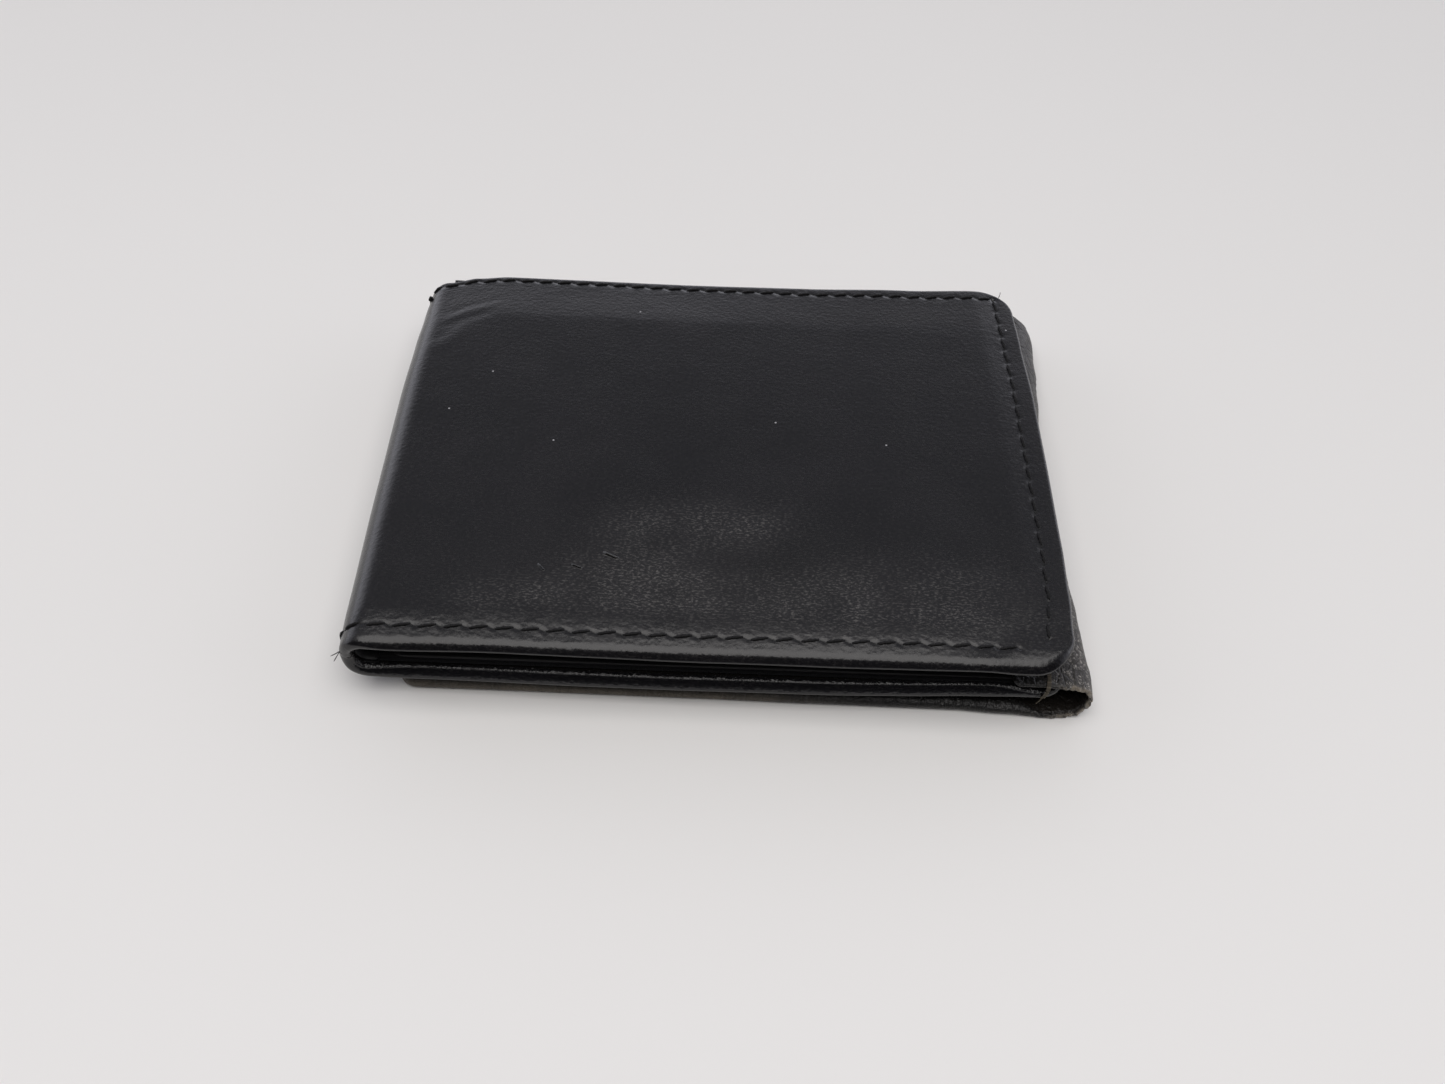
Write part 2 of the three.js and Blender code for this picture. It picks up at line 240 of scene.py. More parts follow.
def boundary_edges(faces):
    """Directed edges that only one face has."""
    edges = np.concatenate([faces[:, [k, (k + 1) % 4]] for k in range(4)])
    base = int(faces.max()) + 1
    key = edges[:, 0] * base + edges[:, 1]
    return edges[~np.isin(key, edges[:, 1] * base + edges[:, 0])]


def thicken(points, faces, thickness):
    """A closed solid from a sheet of quads whose faces look outwards, and its cut edges."""
    count = len(points)
    inner = points - vertex_normals(points, faces) * np.asarray(thickness)[:, None]
    rim = boundary_edges(faces)
    sides = np.stack([rim[:, 1], rim[:, 0], rim[:, 0] + count, rim[:, 1] + count], 1)
    faces = np.concatenate([faces, faces[:, ::-1] + count, sides])
    return np.concatenate([points, inner]), faces, np.concatenate([rim, rim + count])


def grid_faces(rows, columns, flip):
    r, c = np.meshgrid(np.arange(rows - 1), np.arange(columns - 1), indexing="ij")
    a = (r * columns + c).ravel()
    quads = np.stack([a, a + 1, a + columns + 1, a + columns], 1)
    return quads[:, ::-1] if flip else quads


class Fold:
    """Half a tube's outer face, from its crest to a leaf's flat face."""

    def __init__(self, x, z, radius, side, up, shift):
        self.x, self.z, self.radius, self.side, self.up, self.shift = x, z, radius, side, up, shift
        self.arc = radius * QUARTER

    def place(self, s, y, depth):
        angle = np.minimum(s / self.radius, QUARTER)
        r = self.radius - depth
        flat = np.maximum(s - self.arc, 0)
        x = self.x + self.side * (r * np.cos(angle) - flat)
        x = x + self.side * self.shift(y) * np.cos(angle) ** 2
        z = self.z + self.up * r * np.sin(angle)
        return np.stack(np.broadcast_arrays(x, y, z), -1)

    def x_of(self, s):
        """Where s lies along the leaf, as x."""
        return self.x - self.side * (s - self.arc)

    def s_of(self, x):
        return self.arc - self.side * (x - self.x)


ROLL_ANGLES = np.radians([90, 80, 70, 60, 52, 46, 39, 33, 24, 12, 0])
SKIRT_ANGLES = np.radians([100, 108, 115, 120, 125, 130, 135, 147, 158, 169, 180])


class Section:
    """An edge's outline, from its flat face round to its underside, as arcs of (end angle, radius)."""

    UPRIGHT = 360  # the sample at which the outline stands upright

    def __init__(self, *arcs):
        self.angle = np.linspace(0, math.pi, 2 * self.UPRIGHT + 1)
        middle = (self.angle[1:] + self.angle[:-1]) / 2
        ends, radii = (np.array(v, float) for v in zip(*arcs))
        run = radii[np.searchsorted(np.radians(ends), middle)] * self.angle[1]
        out, self.down, along = (np.concatenate([[0], np.cumsum(run * v)])
                                 for v in (np.cos(middle), np.sin(middle), np.ones(len(middle))))
        self.inset, self.beyond = out[self.UPRIGHT] - out, along - along[self.UPRIGHT]
        self.tight = radii[-1]

    def at(self, angle, values):
        return np.interp(angle, self.angle, values)

    def angle_at(self, distance):
        return np.interp(distance, self.inset[self.UPRIGHT::-1], self.angle[self.UPRIGHT::-1])


def mixed(plain, own, amount):
    """Between a round edge and a sheet's own section."""
    return plain * (1 - amount) + own * amount


class Sheet:
    """A leaf's leather: flat from its fold to its free edge, with rounded corners and rolled edges."""

    def __init__(self, fold, length, near, far, corner, roll, lift, thickness, step, edge_lines,
                 fold_lines=14, hem=0.3, warp=lambda points: points,
                 section=Section((180, 1.0)), shaped=lambda s, y: 0.0 * s * y):
        self.fold, self.near, self.far, self.corner = fold, near, far, corner
        self.roll, self.lift, self.warp, self.section, self.shaped = roll, lift, warp, section, shaped
        self.thickness, self.hem = thickness, hem
        self.step, self.edge_lines, self.fold_lines = step, edge_lines, fold_lines
        self.end = fold.arc + length

    def surface(self, s, y, height):
        """A point above the outer face."""
        s, y = np.asarray(s, float), np.asarray(y, float)
        return self.warp(self.fold.place(s, y, -self.lift(s, y) - height))

    def edge_spacing(self, s, y):
        """How far in from the edge each grid line runs, from the edge to the corner's end."""
        roll, amount = self.roll(s, y)[:, None], self.shaped(s, y)[:, None]
        own = self.section.at(ROLL_ANGLES, self.section.inset)
        round_it = mixed(roll * (1 - np.sin(ROLL_ANGLES)), own, amount)
        across = np.linspace(0, 1, self.edge_lines + 1)[1:]
        last = round_it[:, -1:]
        return np.concatenate([round_it, last + (self.corner - last) * across], 1)

    def grid(self):
        corner, end, arc = self.corner, self.end, self.fold.arc
        steps_y = int((self.far - self.near - 2 * corner) / self.step[1])
        steps_s = max(int((end - corner - arc) / self.step[0]), 2)
        middle_y = np.linspace(self.near + corner, self.far - corner, steps_y + 1)
        s_flat = np.linspace(arc, end - corner, steps_s + 1)
        s_start = np.concatenate([np.linspace(0, arc, self.fold_lines), s_flat[1:]])
        edge_count = len(ROLL_ANGLES) + self.edge_lines
        y_guess = np.concatenate([
            np.linspace(self.near, self.near + corner, edge_count)[:-1], middle_y,
            np.linspace(self.far - corner, self.far, edge_count)[1:],
        ])
        free = self.edge_spacing(np.full(len(y_guess), end), y_guess)
        s = np.concatenate([np.tile(s_start, (len(y_guess), 1)), end - free[:, ::-1][:, 1:]], 1)
        mean_s = s.mean(0)
        near, far = (self.edge_spacing(mean_s, np.full(len(mean_s), y)).T for y in (self.near, self.far))
        middle = np.tile(middle_y[1:-1, None], (1, len(mean_s)))
        return s, np.concatenate([self.near + near, middle, self.far - far[::-1]], 0)

    def rounded(self, s, y):
        """Rounds the two free corners. Returns s, y, the distance to the edge and the way out to it."""
        corner = self.corner
        u = 1 - (self.end - s) / corner
        low, high = 1 - (y - self.near) / corner, 1 - (self.far - y) / corner
        v = np.maximum(low, high)
        in_corner, u1, v1 = round_corner(u, v)
        way = np.where(low >= high, -1.0, 1.0)
        edge = np.where(low >= high, self.near, self.far)
        y_new = np.where(in_corner, edge - way * corner * (1 - v1), y)
        radial = np.maximum(np.hypot(u1, v1), 1e-9)
        distance = np.where(in_corner, corner * (1 - radial), np.minimum(self.end - s, corner * (1 - v)))
        to_free = self.end - s < corner * (1 - v)
        out_s = np.where(in_corner, u1 / radial, np.where(to_free, 1.0, 0.0))
        out_y = np.where(in_corner, way * v1 / radial, np.where(to_free, 0.0, way))
        return self.end - corner * (1 - u1), y_new, distance, out_s, out_y

    def build(self, name, material, fields, drop=None):
        s, y, distance, out_s, out_y = self.rounded(*self.grid())
        rows, columns = s.shape
        roll, amount, section = self.roll(s, y), self.shaped(s, y), self.section
        tight = mixed(roll, section.tight, amount)
        plain, own = np.arcsin(np.clip(1 - distance / roll, 0, 1)), section.angle_at(distance)
        depth = mixed(roll * (1 - np.cos(plain)), section.at(own, section.down), amount)
        turn = mixed(plain, own, amount) / QUARTER
        flip = (self.fold.up > 0) == (self.fold.side > 0)
        faces = grid_faces(rows, columns, flip)
        if drop:
            s, y, dropped = drop(s, y)
            faces = faces[~dropped.ravel()[faces].any(1)]
        loop = [(0, c) for c in range(columns)]
        loop += [(r, columns - 1) for r in range(1, rows)]
        loop += [(rows - 1, c) for c in range(columns - 2, -1, -1)]
        edge = tuple(np.array(v) for v in zip(*loop))
        s0, y0, ns, ny, roll0, amount0, tight0 = (
            v[edge] for v in (s, y, out_s, out_y, roll, amount, tight))
        lift0 = self.lift(s0, y0)
        points = [self.fold.place(s, y, depth - self.lift(s, y)).reshape(-1, 3)]
        uv, faces = [np.stack([s, y], -1).reshape(-1, 2)], [faces]
        tights, turns = [tight.ravel()], [turn.ravel()]
        previous, total = edge[0] * columns + edge[1], s.size
        skirt = [(a, 0.0) for a in SKIRT_ANGLES] + [(math.pi, w * self.hem) for w in (0.5, 1.0)]
        for angle, hem in skirt:
            inset, down, beyond = (
                mixed(roll0 * plain, section.at(angle, own), amount0) for plain, own in (
                    (1 - math.sin(angle), section.inset), (1 - math.cos(angle), section.down),
                    (angle - QUARTER, section.beyond)))
            inset, beyond = inset + hem, beyond + hem
            points.append(self.fold.place(s0 - ns * inset, y0 - ny * inset, down - lift0))
            uv.append(np.stack([s0 + ns * beyond, y0 + ny * beyond], -1))
            tights.append(tight0)
            turns.append(np.full(len(s0), angle / QUARTER))
            current = total + np.arange(len(s0))
            total += len(s0)
            quads = np.stack([previous[1:], previous[:-1], current[:-1], current[1:]], 1)
            faces.append(quads[:, ::-1] if flip else quads)
            previous = current
        deep_in = np.zeros(total)
        deep_in[:s.size] = np.maximum(distance - tight, 0).ravel()
        points, uv, turn, tight, faces = (np.concatenate(v) for v in (points, uv, turns, tights, faces))
        thickness = np.minimum(self.thickness, 0.8 * tight + 0.5 * deep_in)
        used = np.unique(faces)
        renumber = np.zeros(total, int)
        renumber[used] = np.arange(len(used))
        uv = uv[used]
        solid, faces, rim = thicken(points[used], renumber[faces], thickness[used])
        values = {"turn": np.tile(turn[used], 2), "inside": np.repeat([0.0, 1.0], len(used))}
        for key, function in fields.items():
            values[key] = np.tile(function(uv[:, 0], uv[:, 1]), 2)
        uv = np.tile(uv * (self.fold.up, 1), (2, 1)) / UV_MM
        return link(name, self.warp(solid), faces, material, uv, values, rim)


PLY_DEPTH = 0.18  # of a twisted thread's radius


def tube(path, radius, sides=8, lobes=0, twist=0.0):
    """A closed tube along the points, with twisted plies when it has lobes."""
    path = np.asarray(path, float)
    count = len(path)
    tangent = np.gradient(path, axis=0)
    tangent /= np.maximum(np.linalg.norm(tangent, axis=1, keepdims=True), 1e-9)
    side = np.cross(tangent, (0.13, 0.31, 0.94))
    side /= np.linalg.norm(side, axis=1, keepdims=True)
    up = np.cross(side, tangent)
    along = np.concatenate([[0], np.cumsum(np.linalg.norm(np.diff(path, axis=0), axis=1))])
    angle = np.linspace(0, 2 * np.pi, sides, endpoint=False)
    t = np.linspace(0, 1, count)
    size = radius * np.clip(np.minimum(t, 1 - t) * 6, 0.35, 1)
    wave = 1 + PLY_DEPTH * np.cos(lobes * (angle - twist * along[:, None])) if lobes else np.ones(sides)
    r = (size[:, None] * wave)[..., None]
    out = np.cos(angle)[:, None] * side[:, None] + np.sin(angle)[:, None] * up[:, None]
    ring = path[:, None] + r * out
    points = np.concatenate([ring.reshape(-1, 3), path[:1], path[-1:]])
    turns = [(j, (j + 1) % sides) for j in range(sides)]
    first, last, end = count * sides, count * sides + 1, (count - 1) * sides
    faces = [(i + j, i + k, i + sides + k, i + sides + j) for i in range(0, end, sides) for j, k in turns]
    for j, k in turns:
        faces += [(first, k, j), (last, end + j, end + k)]
    uv = np.stack([np.repeat(along, sides), np.tile(angle / (2 * np.pi), count)], -1)
    return points, faces, np.concatenate([uv, [[0, 0.5], [along[-1], 0.5]]])


def join_tubes(name, tubes, material):
    faces, base = [], 0
    for points, own, _ in tubes:
        faces += [tuple(i + base for i in face) for face in own]
        base += len(points)
    points, uv = (np.concatenate([made[k] for made in tubes]) for k in (0, 2))
    return link(name, points, faces, material, uv / UV_MM)


def smooth_path(points, count):
    """A smooth line through the points, by Catmull-Rom."""
    p = np.array([points[0], *points, points[-1]], float)
    t = np.linspace(0, len(points) - 1 - 1e-9, count)
    i = t.astype(int)
    f = (t - i)[:, None]
    a, b, c, d = p[i], p[i + 1], p[i + 2], p[np.minimum(i + 3, len(p) - 1)]
    bend, twist = 2 * a - 5 * b + 4 * c - d, 3 * b - a - 3 * c + d
    return 0.5 * (2 * b + (c - a) * f + bend * f ** 2 + twist * f ** 3)


# ---------------------------------------------------------------- seams

STITCH = 3.76  # from one needle hole to the next
THREAD = 0.25  # a strand's radius


class Seam:
    """A row of stitches along one direction of a sheet, with its needle holes a stitch apart."""

    def __init__(self, start, end, at, along_s, pitch=STITCH, pucker=0.02):
        count = max(int(round((end - start) / pitch)), 1)
        self.start, self.end, self.along_s, self.pucker = start, end, along_s, pucker
        self.hand = 1 if along_s else -1
        self.at = at if callable(at) else lambda u: at + 0.0 * u
        self.pitch = (end - start) / count
        self.holes = start + self.pitch * np.arange(count + 1)

    def offsets(self, s, y):
        """Distance across the seam, and along it to the nearest hole."""
        u, v = (s, y) if self.along_s else (y, s)
        across = v - self.at(u)
        nearest = np.round((np.clip(u, self.start, self.end) - self.start) / self.pitch)
        return across, u - (self.start + nearest * self.pitch)

    def near_it(self, s, y, reach=2):
        """1 along the seam, falling to 0 past its ends."""
        u = s if self.along_s else y
        return ease((u - self.start + reach) / reach) * ease((self.end + reach - u) / reach)

    def hole(self, s, y):
        """1 in a needle hole: a short slit leaning across the seam."""
        across, along = self.offsets(s, y)
        across = across * self.hand
        lean, cross = 0.77 * along - 0.63 * across, 0.63 * along + 0.77 * across
        return self.near_it(s, y) * np.exp(-(lean / 0.72) ** 2 - (cross / 0.27) ** 2)

    def dent(self, s, y):
        """How far the leather is pulled in by the thread."""
        across, along = self.offsets(s, y)
        valley = np.exp(-(across / 0.6) ** 2)
        puff = np.exp(-((np.abs(across) - 1.35) / 0.6) ** 2) * np.cos(2 * np.pi * along / self.pitch)
        return 0.17 * self.hole(s, y) + self.near_it(s, y) * (
            (0.012 + 0.6 * self.pucker) * valley + self.pucker * puff)

    def threads(self, sheet, lie):
        """One twisted strand for each stitch, its ends sunk in the needle holes."""
        made = []
        t = np.linspace(0, 1, 9)
        slant = 0.28 if self.along_s else 0.15
        for a, b in zip(self.holes[:-1], self.holes[1:]):
            wobble = rng.uniform(-0.05, 0.05, 3)
            u = a + (b - a) * (0.07 + 0.86 * t)
            v = self.at(u) + self.hand * (t - 0.5) * (slant + wobble[0]) * 2 + wobble[1] * np.sin(np.pi * t)
            height = lie - 0.6 * np.abs(2 * t - 1) ** 6 + 0.05 * np.sin(np.pi * t)
            path = sheet.surface(*((u, v) if self.along_s else (v, u)), height)
            made.append(tube(path, THREAD * (1 + wobble[2]), sides=9, lobes=2, twist=2.6))
        return made


def dents(seams):
    """How far all the seams pull the leather in."""
    return lambda s, y: sum(seam.dent(s, y) for seam in seams)


def seam_field(seams):
    """Where the leather is drawn together beside a seam."""
    def at(s, y):
        beside = (seam.near_it(s, y, 3) * np.exp(-(seam.offsets(s, y)[0] / 2.6) ** 2) for seam in seams)
        return np.clip(sum(beside), 0, 1)
    return at


def hole_shade_field(seams, marks=()):
    """Where the leather is pierced or scratched: the mask of the shade painted into these hollows."""
    def at(s, y):
        scratched = sum(mound(top_fold.x_of(s), y, *shaded_mark) for shaded_mark in marks)
        return np.clip(sum(seam.hole(s, y) for seam in seams) + scratched, 0, 1)
    return at


def sew(name, sheet, seams, lie=0.02):
    """All the stitches of some seams, as one piece."""
    return join_tubes(name, [strand for seam in seams for strand in seam.threads(sheet, lie)], BLACK_THREAD)


# ---------------------------------------------------------------- materials

class Nodes:
    """Short words for building a material's node tree."""

    def __init__(self, name):
        self.material = bpy.data.materials.new(name)
        self.material.use_nodes = True
        self.tree = self.material.node_tree
        self.shader = self.tree.nodes["Principled BSDF"]
        uv = self.add("ShaderNodeUVMap")
        uv.uv_map = "leather"
        self.leather = uv.outputs["UV"]

    def add(self, kind, **settings):
        node = self.tree.nodes.new(kind)
        for key, value in settings.items():
            setattr(node, key, value)
        return node

    def wire(self, source, target):
        self.tree.links.new(source, target)

    def put(self, socket, value):
        """A link, a number, or a colour given as three numbers."""
        if isinstance(value, bpy.types.NodeSocket):
            self.wire(value, socket)
        else:
            socket.default_value = (*value, 1.0) if isinstance(value, tuple) else value

    def texture(self, kind, space, inputs, **settings):
        """A texture or mapping node on the leather's own plane, or in another space."""
        node = self.add(kind, **settings)
        for key, value in inputs.items():
            node.inputs[key].default_value = value
        self.wire(space or self.leather, node.inputs["Vector"])
        return node

    def stretched(self, x, y, angle=0.0, space=None):
        inputs = {"Scale": (x, y, 1.0), "Rotation": (0, 0, math.radians(angle))}
        return self.texture("ShaderNodeMapping", space, inputs).outputs["Vector"]

    def noise(self, per_mm, detail=3.0, rough=0.55, space=None, distortion=0.0):
        inputs = {"Scale": per_mm * UV_MM, "Detail": detail, "Roughness": rough, "Distortion": distortion}
        return self.texture("ShaderNodeTexNoise", space, inputs).outputs["Fac"]

    def cells(self, per_mm, feature="F1", output="Distance", space=None, flat=False):
        node = self.texture("ShaderNodeTexVoronoi", space, {"Scale": per_mm * UV_MM}, feature=feature,
                            voronoi_dimensions="2D" if flat else "3D")
        return node.outputs[output]

    def stroke(self, s, y, length, width, angle):
        """Height of a short straight cut: one side lifted in a slope, the other dropping straight down."""
        place = {"Location": (s / UV_MM, y / UV_MM, 0), "Rotation": (0, 0, math.radians(angle)),
                 "Scale": (length / 2 / UV_MM, width / 2 / UV_MM, 1)}
        mapping = self.texture("ShaderNodeMapping", None, place, vector_type="TEXTURE")
        split = self.add("ShaderNodeSeparateXYZ")
        self.wire(mapping.outputs["Vector"], split.inputs["Vector"])
        along, across = self.maths("ABSOLUTE", split.outputs["X"]), split.outputs["Y"]
        slope = self.times(self.ramp(across, -1.0, 0.6), self.ramp(across, 0.6, 0.9, 1.0, 0.0))
        return self.times(slope, self.ramp(along, 0.55, 1.0, 1.0, 0.0))

    def maths(self, operation, a, b=0.0):
        node = self.add("ShaderNodeMath", operation=operation)
        for socket, value in zip(node.inputs, (a, b)):
            self.put(socket, value)
        return node.outputs["Value"]

    def times(self, a, b):
        return self.maths("MULTIPLY", a, b)

    def plus(self, a, b):
        return self.maths("ADD", a, b)

    def minus(self, a, b):
        return self.maths("SUBTRACT", a, b)

    def ramp(self, value, low, high, out_low=0.0, out_high=1.0):
        node = self.add("ShaderNodeMapRange", interpolation_type="SMOOTHSTEP")
        self.put(node.inputs["Value"], value)
        for key, number in zip(("From Min", "From Max", "To Min", "To Max"), (low, high, out_low, out_high)):
            node.inputs[key].default_value = number
        return node.outputs["Result"]

    def mix(self, factor, a, b):
        node = self.add("ShaderNodeMix", data_type="RGBA")
        for number, value in ((0, factor), (6, a), (7, b)):
            self.put(node.inputs[number], value)
        return node.outputs[2]

    def layers(self, base, *coats):
        """Coats of (how much, colour), each laid over the ones before."""
        for amount, colour in coats:
            base = self.mix(amount, base, colour)
        return base

    def field(self, name):
        return self.add("ShaderNodeAttribute", attribute_name=name).outputs["Fac"]

    def bumps(self, *heights, strength=1.0):
        """Relief of (height, millimetres), each laid over the ones before."""
        normal = None
        for height, depth in heights:
            node = self.add("ShaderNodeBump")
            self.put(node.inputs["Strength"], strength)
            self.put(node.inputs["Distance"], depth * MM)
            self.wire(height, node.inputs["Height"])
            if normal:
                self.wire(normal, node.inputs["Normal"])
            normal = node.outputs["Normal"]
        return normal

    def finish(self, colour, roughness, normal, specular):
        self.put(self.shader.inputs["Base Color"], colour)
        self.put(self.shader.inputs["Roughness"], roughness)
        self.put(self.shader.inputs["Specular IOR Level"], specular)
        if normal:
            self.wire(normal, self.shader.inputs["Normal"])
        return self.material


def dust(n):
    """A few round specks, about 0.3 mm across."""
    cells_per_mm = 0.16
    which = n.add("ShaderNodeSeparateColor")
    distance = n.cells(cells_per_mm, flat=True)
    n.wire(n.cells(cells_per_mm, output="Color", flat=True), which.inputs["Color"])
    chosen = n.ramp(which.outputs[0], 0.955, 0.960)
    return n.times(chosen, n.maths("LESS_THAN", distance, 0.027))


def smooth_leather(scratches):
    """Smooth black full-grain leather, finely grained, rubbed a little paler and browner where it wears,
    with painted glints for the grain's highlights and painted shade in its needle holes and scratches.
    """
    n = Nodes("smooth_black_leather")
    turn = n.field("turn")
    turned_in = n.ramp(turn, 1.46, 1.56)
    grain = n.noise(2.2, 2.0, 0.5)
    haze_and_glints = n.times(n.field("haze_and_glints"), n.ramp(n.noise(0.12, 3.0, 0.6), 0.3, 0.6, 0.35, 1.0))
    blotch = n.ramp(n.noise(0.045, 4.0, 0.55), 0.35, 0.7)
    rubbed = n.times(n.field("wear"), n.ramp(grain, 0.3, 0.7, 0.45, 1.0))
    # painted glints: small pale flecks in the base colour that stand in for highlights on the grain, densest
    # in the haze patches
    painted_glint = n.ramp(n.noise(2.9, 2.0, 0.75, n.stretched(0.5, 1.25, 4)), 0.49, 0.68)
    speck = dust(n)
    base = n.layers(
        n.mix(blotch, (0.0030, 0.0030, 0.0040), (0.0052, 0.0049, 0.0062)),
        (rubbed, (0.020, 0.0185, 0.018)),
        (n.field("inside"), (0.010, 0.009, 0.0085)),
        (n.times(painted_glint, n.plus(n.times(haze_and_glints, 0.75), 0.09)), (0.115, 0.11, 0.105)),
        # painted shade: needle holes and scratches darkened where shade falls in them
        (n.field("shaded_mark"), (0.0012, 0.0012, 0.0012)),
        (n.times(speck, 0.6), (0.50, 0.50, 0.52)),
    )
    polish = n.minus(n.ramp(turn, 0.22, 0.42, 0.0, 0.09), n.times(turned_in, 0.09))
    rough = n.plus(n.ramp(n.noise(0.09, 4.0, 0.6), 0.3, 0.7, 0.235, 0.25), n.times(grain, 0.05))
    rough = n.minus(n.plus(rough, n.times(speck, 0.3)), polish)
    rough = n.plus(rough, n.times(haze_and_glints, 0.08))
    creases = n.noise(0.5, 3.0, 0.45, n.stretched(0.45, 1.25, 12), 0.4)
    pebble = n.noise(1.0, 2.0, 0.5, n.stretched(0.75, 1.3, 8), 0.3)
    raised = n.times(n.times(n.field("grainy"), turned_in), n.noise(1.7, 2.0, 0.5))
    strokes = 0.0
    for x, y, length, width, angle in scratches:
        strokes = n.plus(strokes, n.stroke(top_fold.s_of(x), y, length, width, angle))
    normal = n.bumps(
        (n.times(n.plus(n.times(n.field("seam"), 0.35), 0.06), creases), 0.14),
        (raised, 0.24),
        (strokes, 0.45),
        (n.times(pebble, n.plus(n.times(haze_and_glints, 0.9), 0.6)), 0.045),
        (n.noise(0.10, 2.0, 0.4, n.stretched(0.5, 1.6, -7)), 0.03),
        (n.cells(1.75, feature="SMOOTH_F1"), 0.026),
        (grain, 0.022),
    )
    return n.finish(base, rough, normal, 0.5)


def inner_leather():
    """Thin black pocket leather with a fine printed grain."""
    n = Nodes("pocket_leather")
    grain = n.noise(0.9, 5.0, 0.6)
    blotch = n.ramp(n.noise(0.05, 4.0, 0.55), 0.35, 0.7)
    rubbed = n.times(n.field("wear"), n.ramp(grain, 0.3, 0.6, 0.4, 1.0))
    base = n.mix(blotch, (0.0070, 0.0070, 0.0080), (0.0095, 0.0092, 0.0098))
    base = n.mix(rubbed, base, (0.085, 0.078, 0.072))
    rough = n.ramp(n.noise(0.12, 4.0, 0.6), 0.3, 0.7, 0.50, 0.57)
    return n.finish(base, rough, n.bumps((n.cells(2.4), 0.02), (grain, 0.04)), 0.45)


def worn_leather():
    """Black leather rubbed to grey-brown, dry and cracked along its fold and fraying at its cut edges."""
    n = Nodes("worn_hinge_leather")
    cracked = n.cells(0.75, feature="DISTANCE_TO_EDGE", space=n.stretched(1.0, 0.55, 8))
    fine = n.cells(1.9, feature="DISTANCE_TO_EDGE")
    grain = n.noise(0.9, 6.0, 0.65)
    patches = n.ramp(n.noise(0.16, 5.0, 0.6), 0.38, 0.66)
    wear, inside = n.field("wear"), n.field("inside")
    flakes = n.times(n.ramp(n.noise(1.1, 4.0, 0.7), 0.47, 0.60), n.ramp(fine, 0.04, 0.16))
    flakes = n.times(n.times(flakes, n.minus(1.0, inside)), n.field("flake"))
    base = n.layers(
        (0.006, 0.006, 0.0065),
        (n.times(wear, n.ramp(patches, 0.0, 1.0, 0.55, 1.0)), (0.070, 0.063, 0.056)),
        (n.times(n.ramp(cracked, 0.0, 0.09, 1.0, 0.0), wear), (0.012, 0.010, 0.009)),
        (n.times(n.field("edge"), n.ramp(grain, 0.35, 0.62)), (0.27, 0.235, 0.185)),
        (inside, (0.016, 0.0135, 0.0115)),
        (n.times(n.field("fuzz"), n.ramp(patches, 0.0, 1.0, 0.6, 1.0)), (0.085, 0.072, 0.054)),
        (flakes, (0.25, 0.237, 0.22)),
    )
    rough = n.plus(n.ramp(grain, 0.25, 0.75, 0.26, 0.36), n.times(wear, 0.25))
    normal = n.bumps((n.ramp(cracked, 0.0, 0.16), 0.08), (n.ramp(fine, 0.0, 0.2), 0.03), (grain, 0.07))
    return n.finish(base, rough, normal, 0.35)


def object_space(n):
    """Coordinates of a piece whose pattern needs no leather's plane."""
    return n.add("ShaderNodeTexCoord").outputs["Object"]


def woven_lining():
    n = Nodes("woven_lining")
    space, inputs = object_space(n), {"Scale": 900.0, "Distortion": 0.6}
    waves = [n.texture("ShaderNodeTexWave", space, inputs, bands_direction=way) for way in "XY"]
    cloth = n.times(*(wave.outputs["Fac"] for wave in waves))
    base = n.mix(cloth, (0.010, 0.010, 0.011), (0.030, 0.030, 0.034))
    return n.finish(base, n.ramp(cloth, 0.0, 1.0, 0.7, 0.9), n.bumps((cloth, 0.06), strength=0.8), 0.3)


def fibre_board():
    n = Nodes("fibre_board")
    fleck = n.noise(9.0, 5.0, 0.6, object_space(n))
    base = n.mix(n.ramp(fleck, 0.35, 0.65), (0.13, 0.10, 0.07), (0.21, 0.165, 0.12))
    return n.finish(base, 0.9, n.bumps((fleck, 0.05), strength=0.6), 0.2)


def thread_material(name, dark, light, roughness):
    n = Nodes(name)
    fuzz = n.noise(6.0, 4.0, 0.6, n.stretched(1.0, 0.05))
    base = n.mix(n.ramp(fuzz, 0.35, 0.7), dark, light)
    return n.finish(base, roughness, n.bumps((fuzz, 0.06), strength=0.8), 0.2)


def clear_vinyl():
    """Scuffed clear vinyl of the ID window."""
    n = Nodes("clear_vinyl")
    space = object_space(n)
    scuff = n.noise(0.9, 6.0, 0.65, space)
    lines = n.noise(1.4, 4.0, 0.6, n.stretched(0.1, 2.0, 20, space))
    n.put(n.shader.inputs["Alpha"], 0.35)
    base = n.mix(n.ramp(lines, 0.5, 0.75), (0.62, 0.66, 0.66), (0.86, 0.88, 0.87))
    return n.finish(base, n.ramp(scuff, 0.3, 0.7, 0.12, 0.34), n.bumps((scuff, 0.05), strength=0.4), 0.5)


def pale_floor():
    n = Nodes("pale_floor")
    cloud = n.noise(0.02, 2.0, 0.5, object_space(n))
    base = n.mix(n.ramp(cloud, 0.3, 0.7), (0.77, 0.765, 0.75), (0.80, 0.795, 0.78))
    return n.finish(base, 0.9, None, 0.2)


INNER = inner_leather()
WORN = worn_leather()
LINING = woven_lining()
BOARD = fibre_board()
BLACK_THREAD = thread_material("black_thread", (0.0015, 0.0015, 0.0018), (0.009, 0.0085, 0.009), 0.62)
LOOSE_THREAD = thread_material("faded_thread", (0.035, 0.030, 0.024), (0.15, 0.13, 0.10), 0.85)
VINYL = clear_vinyl()


# ---------------------------------------------------------------- the two leaves' outer leather

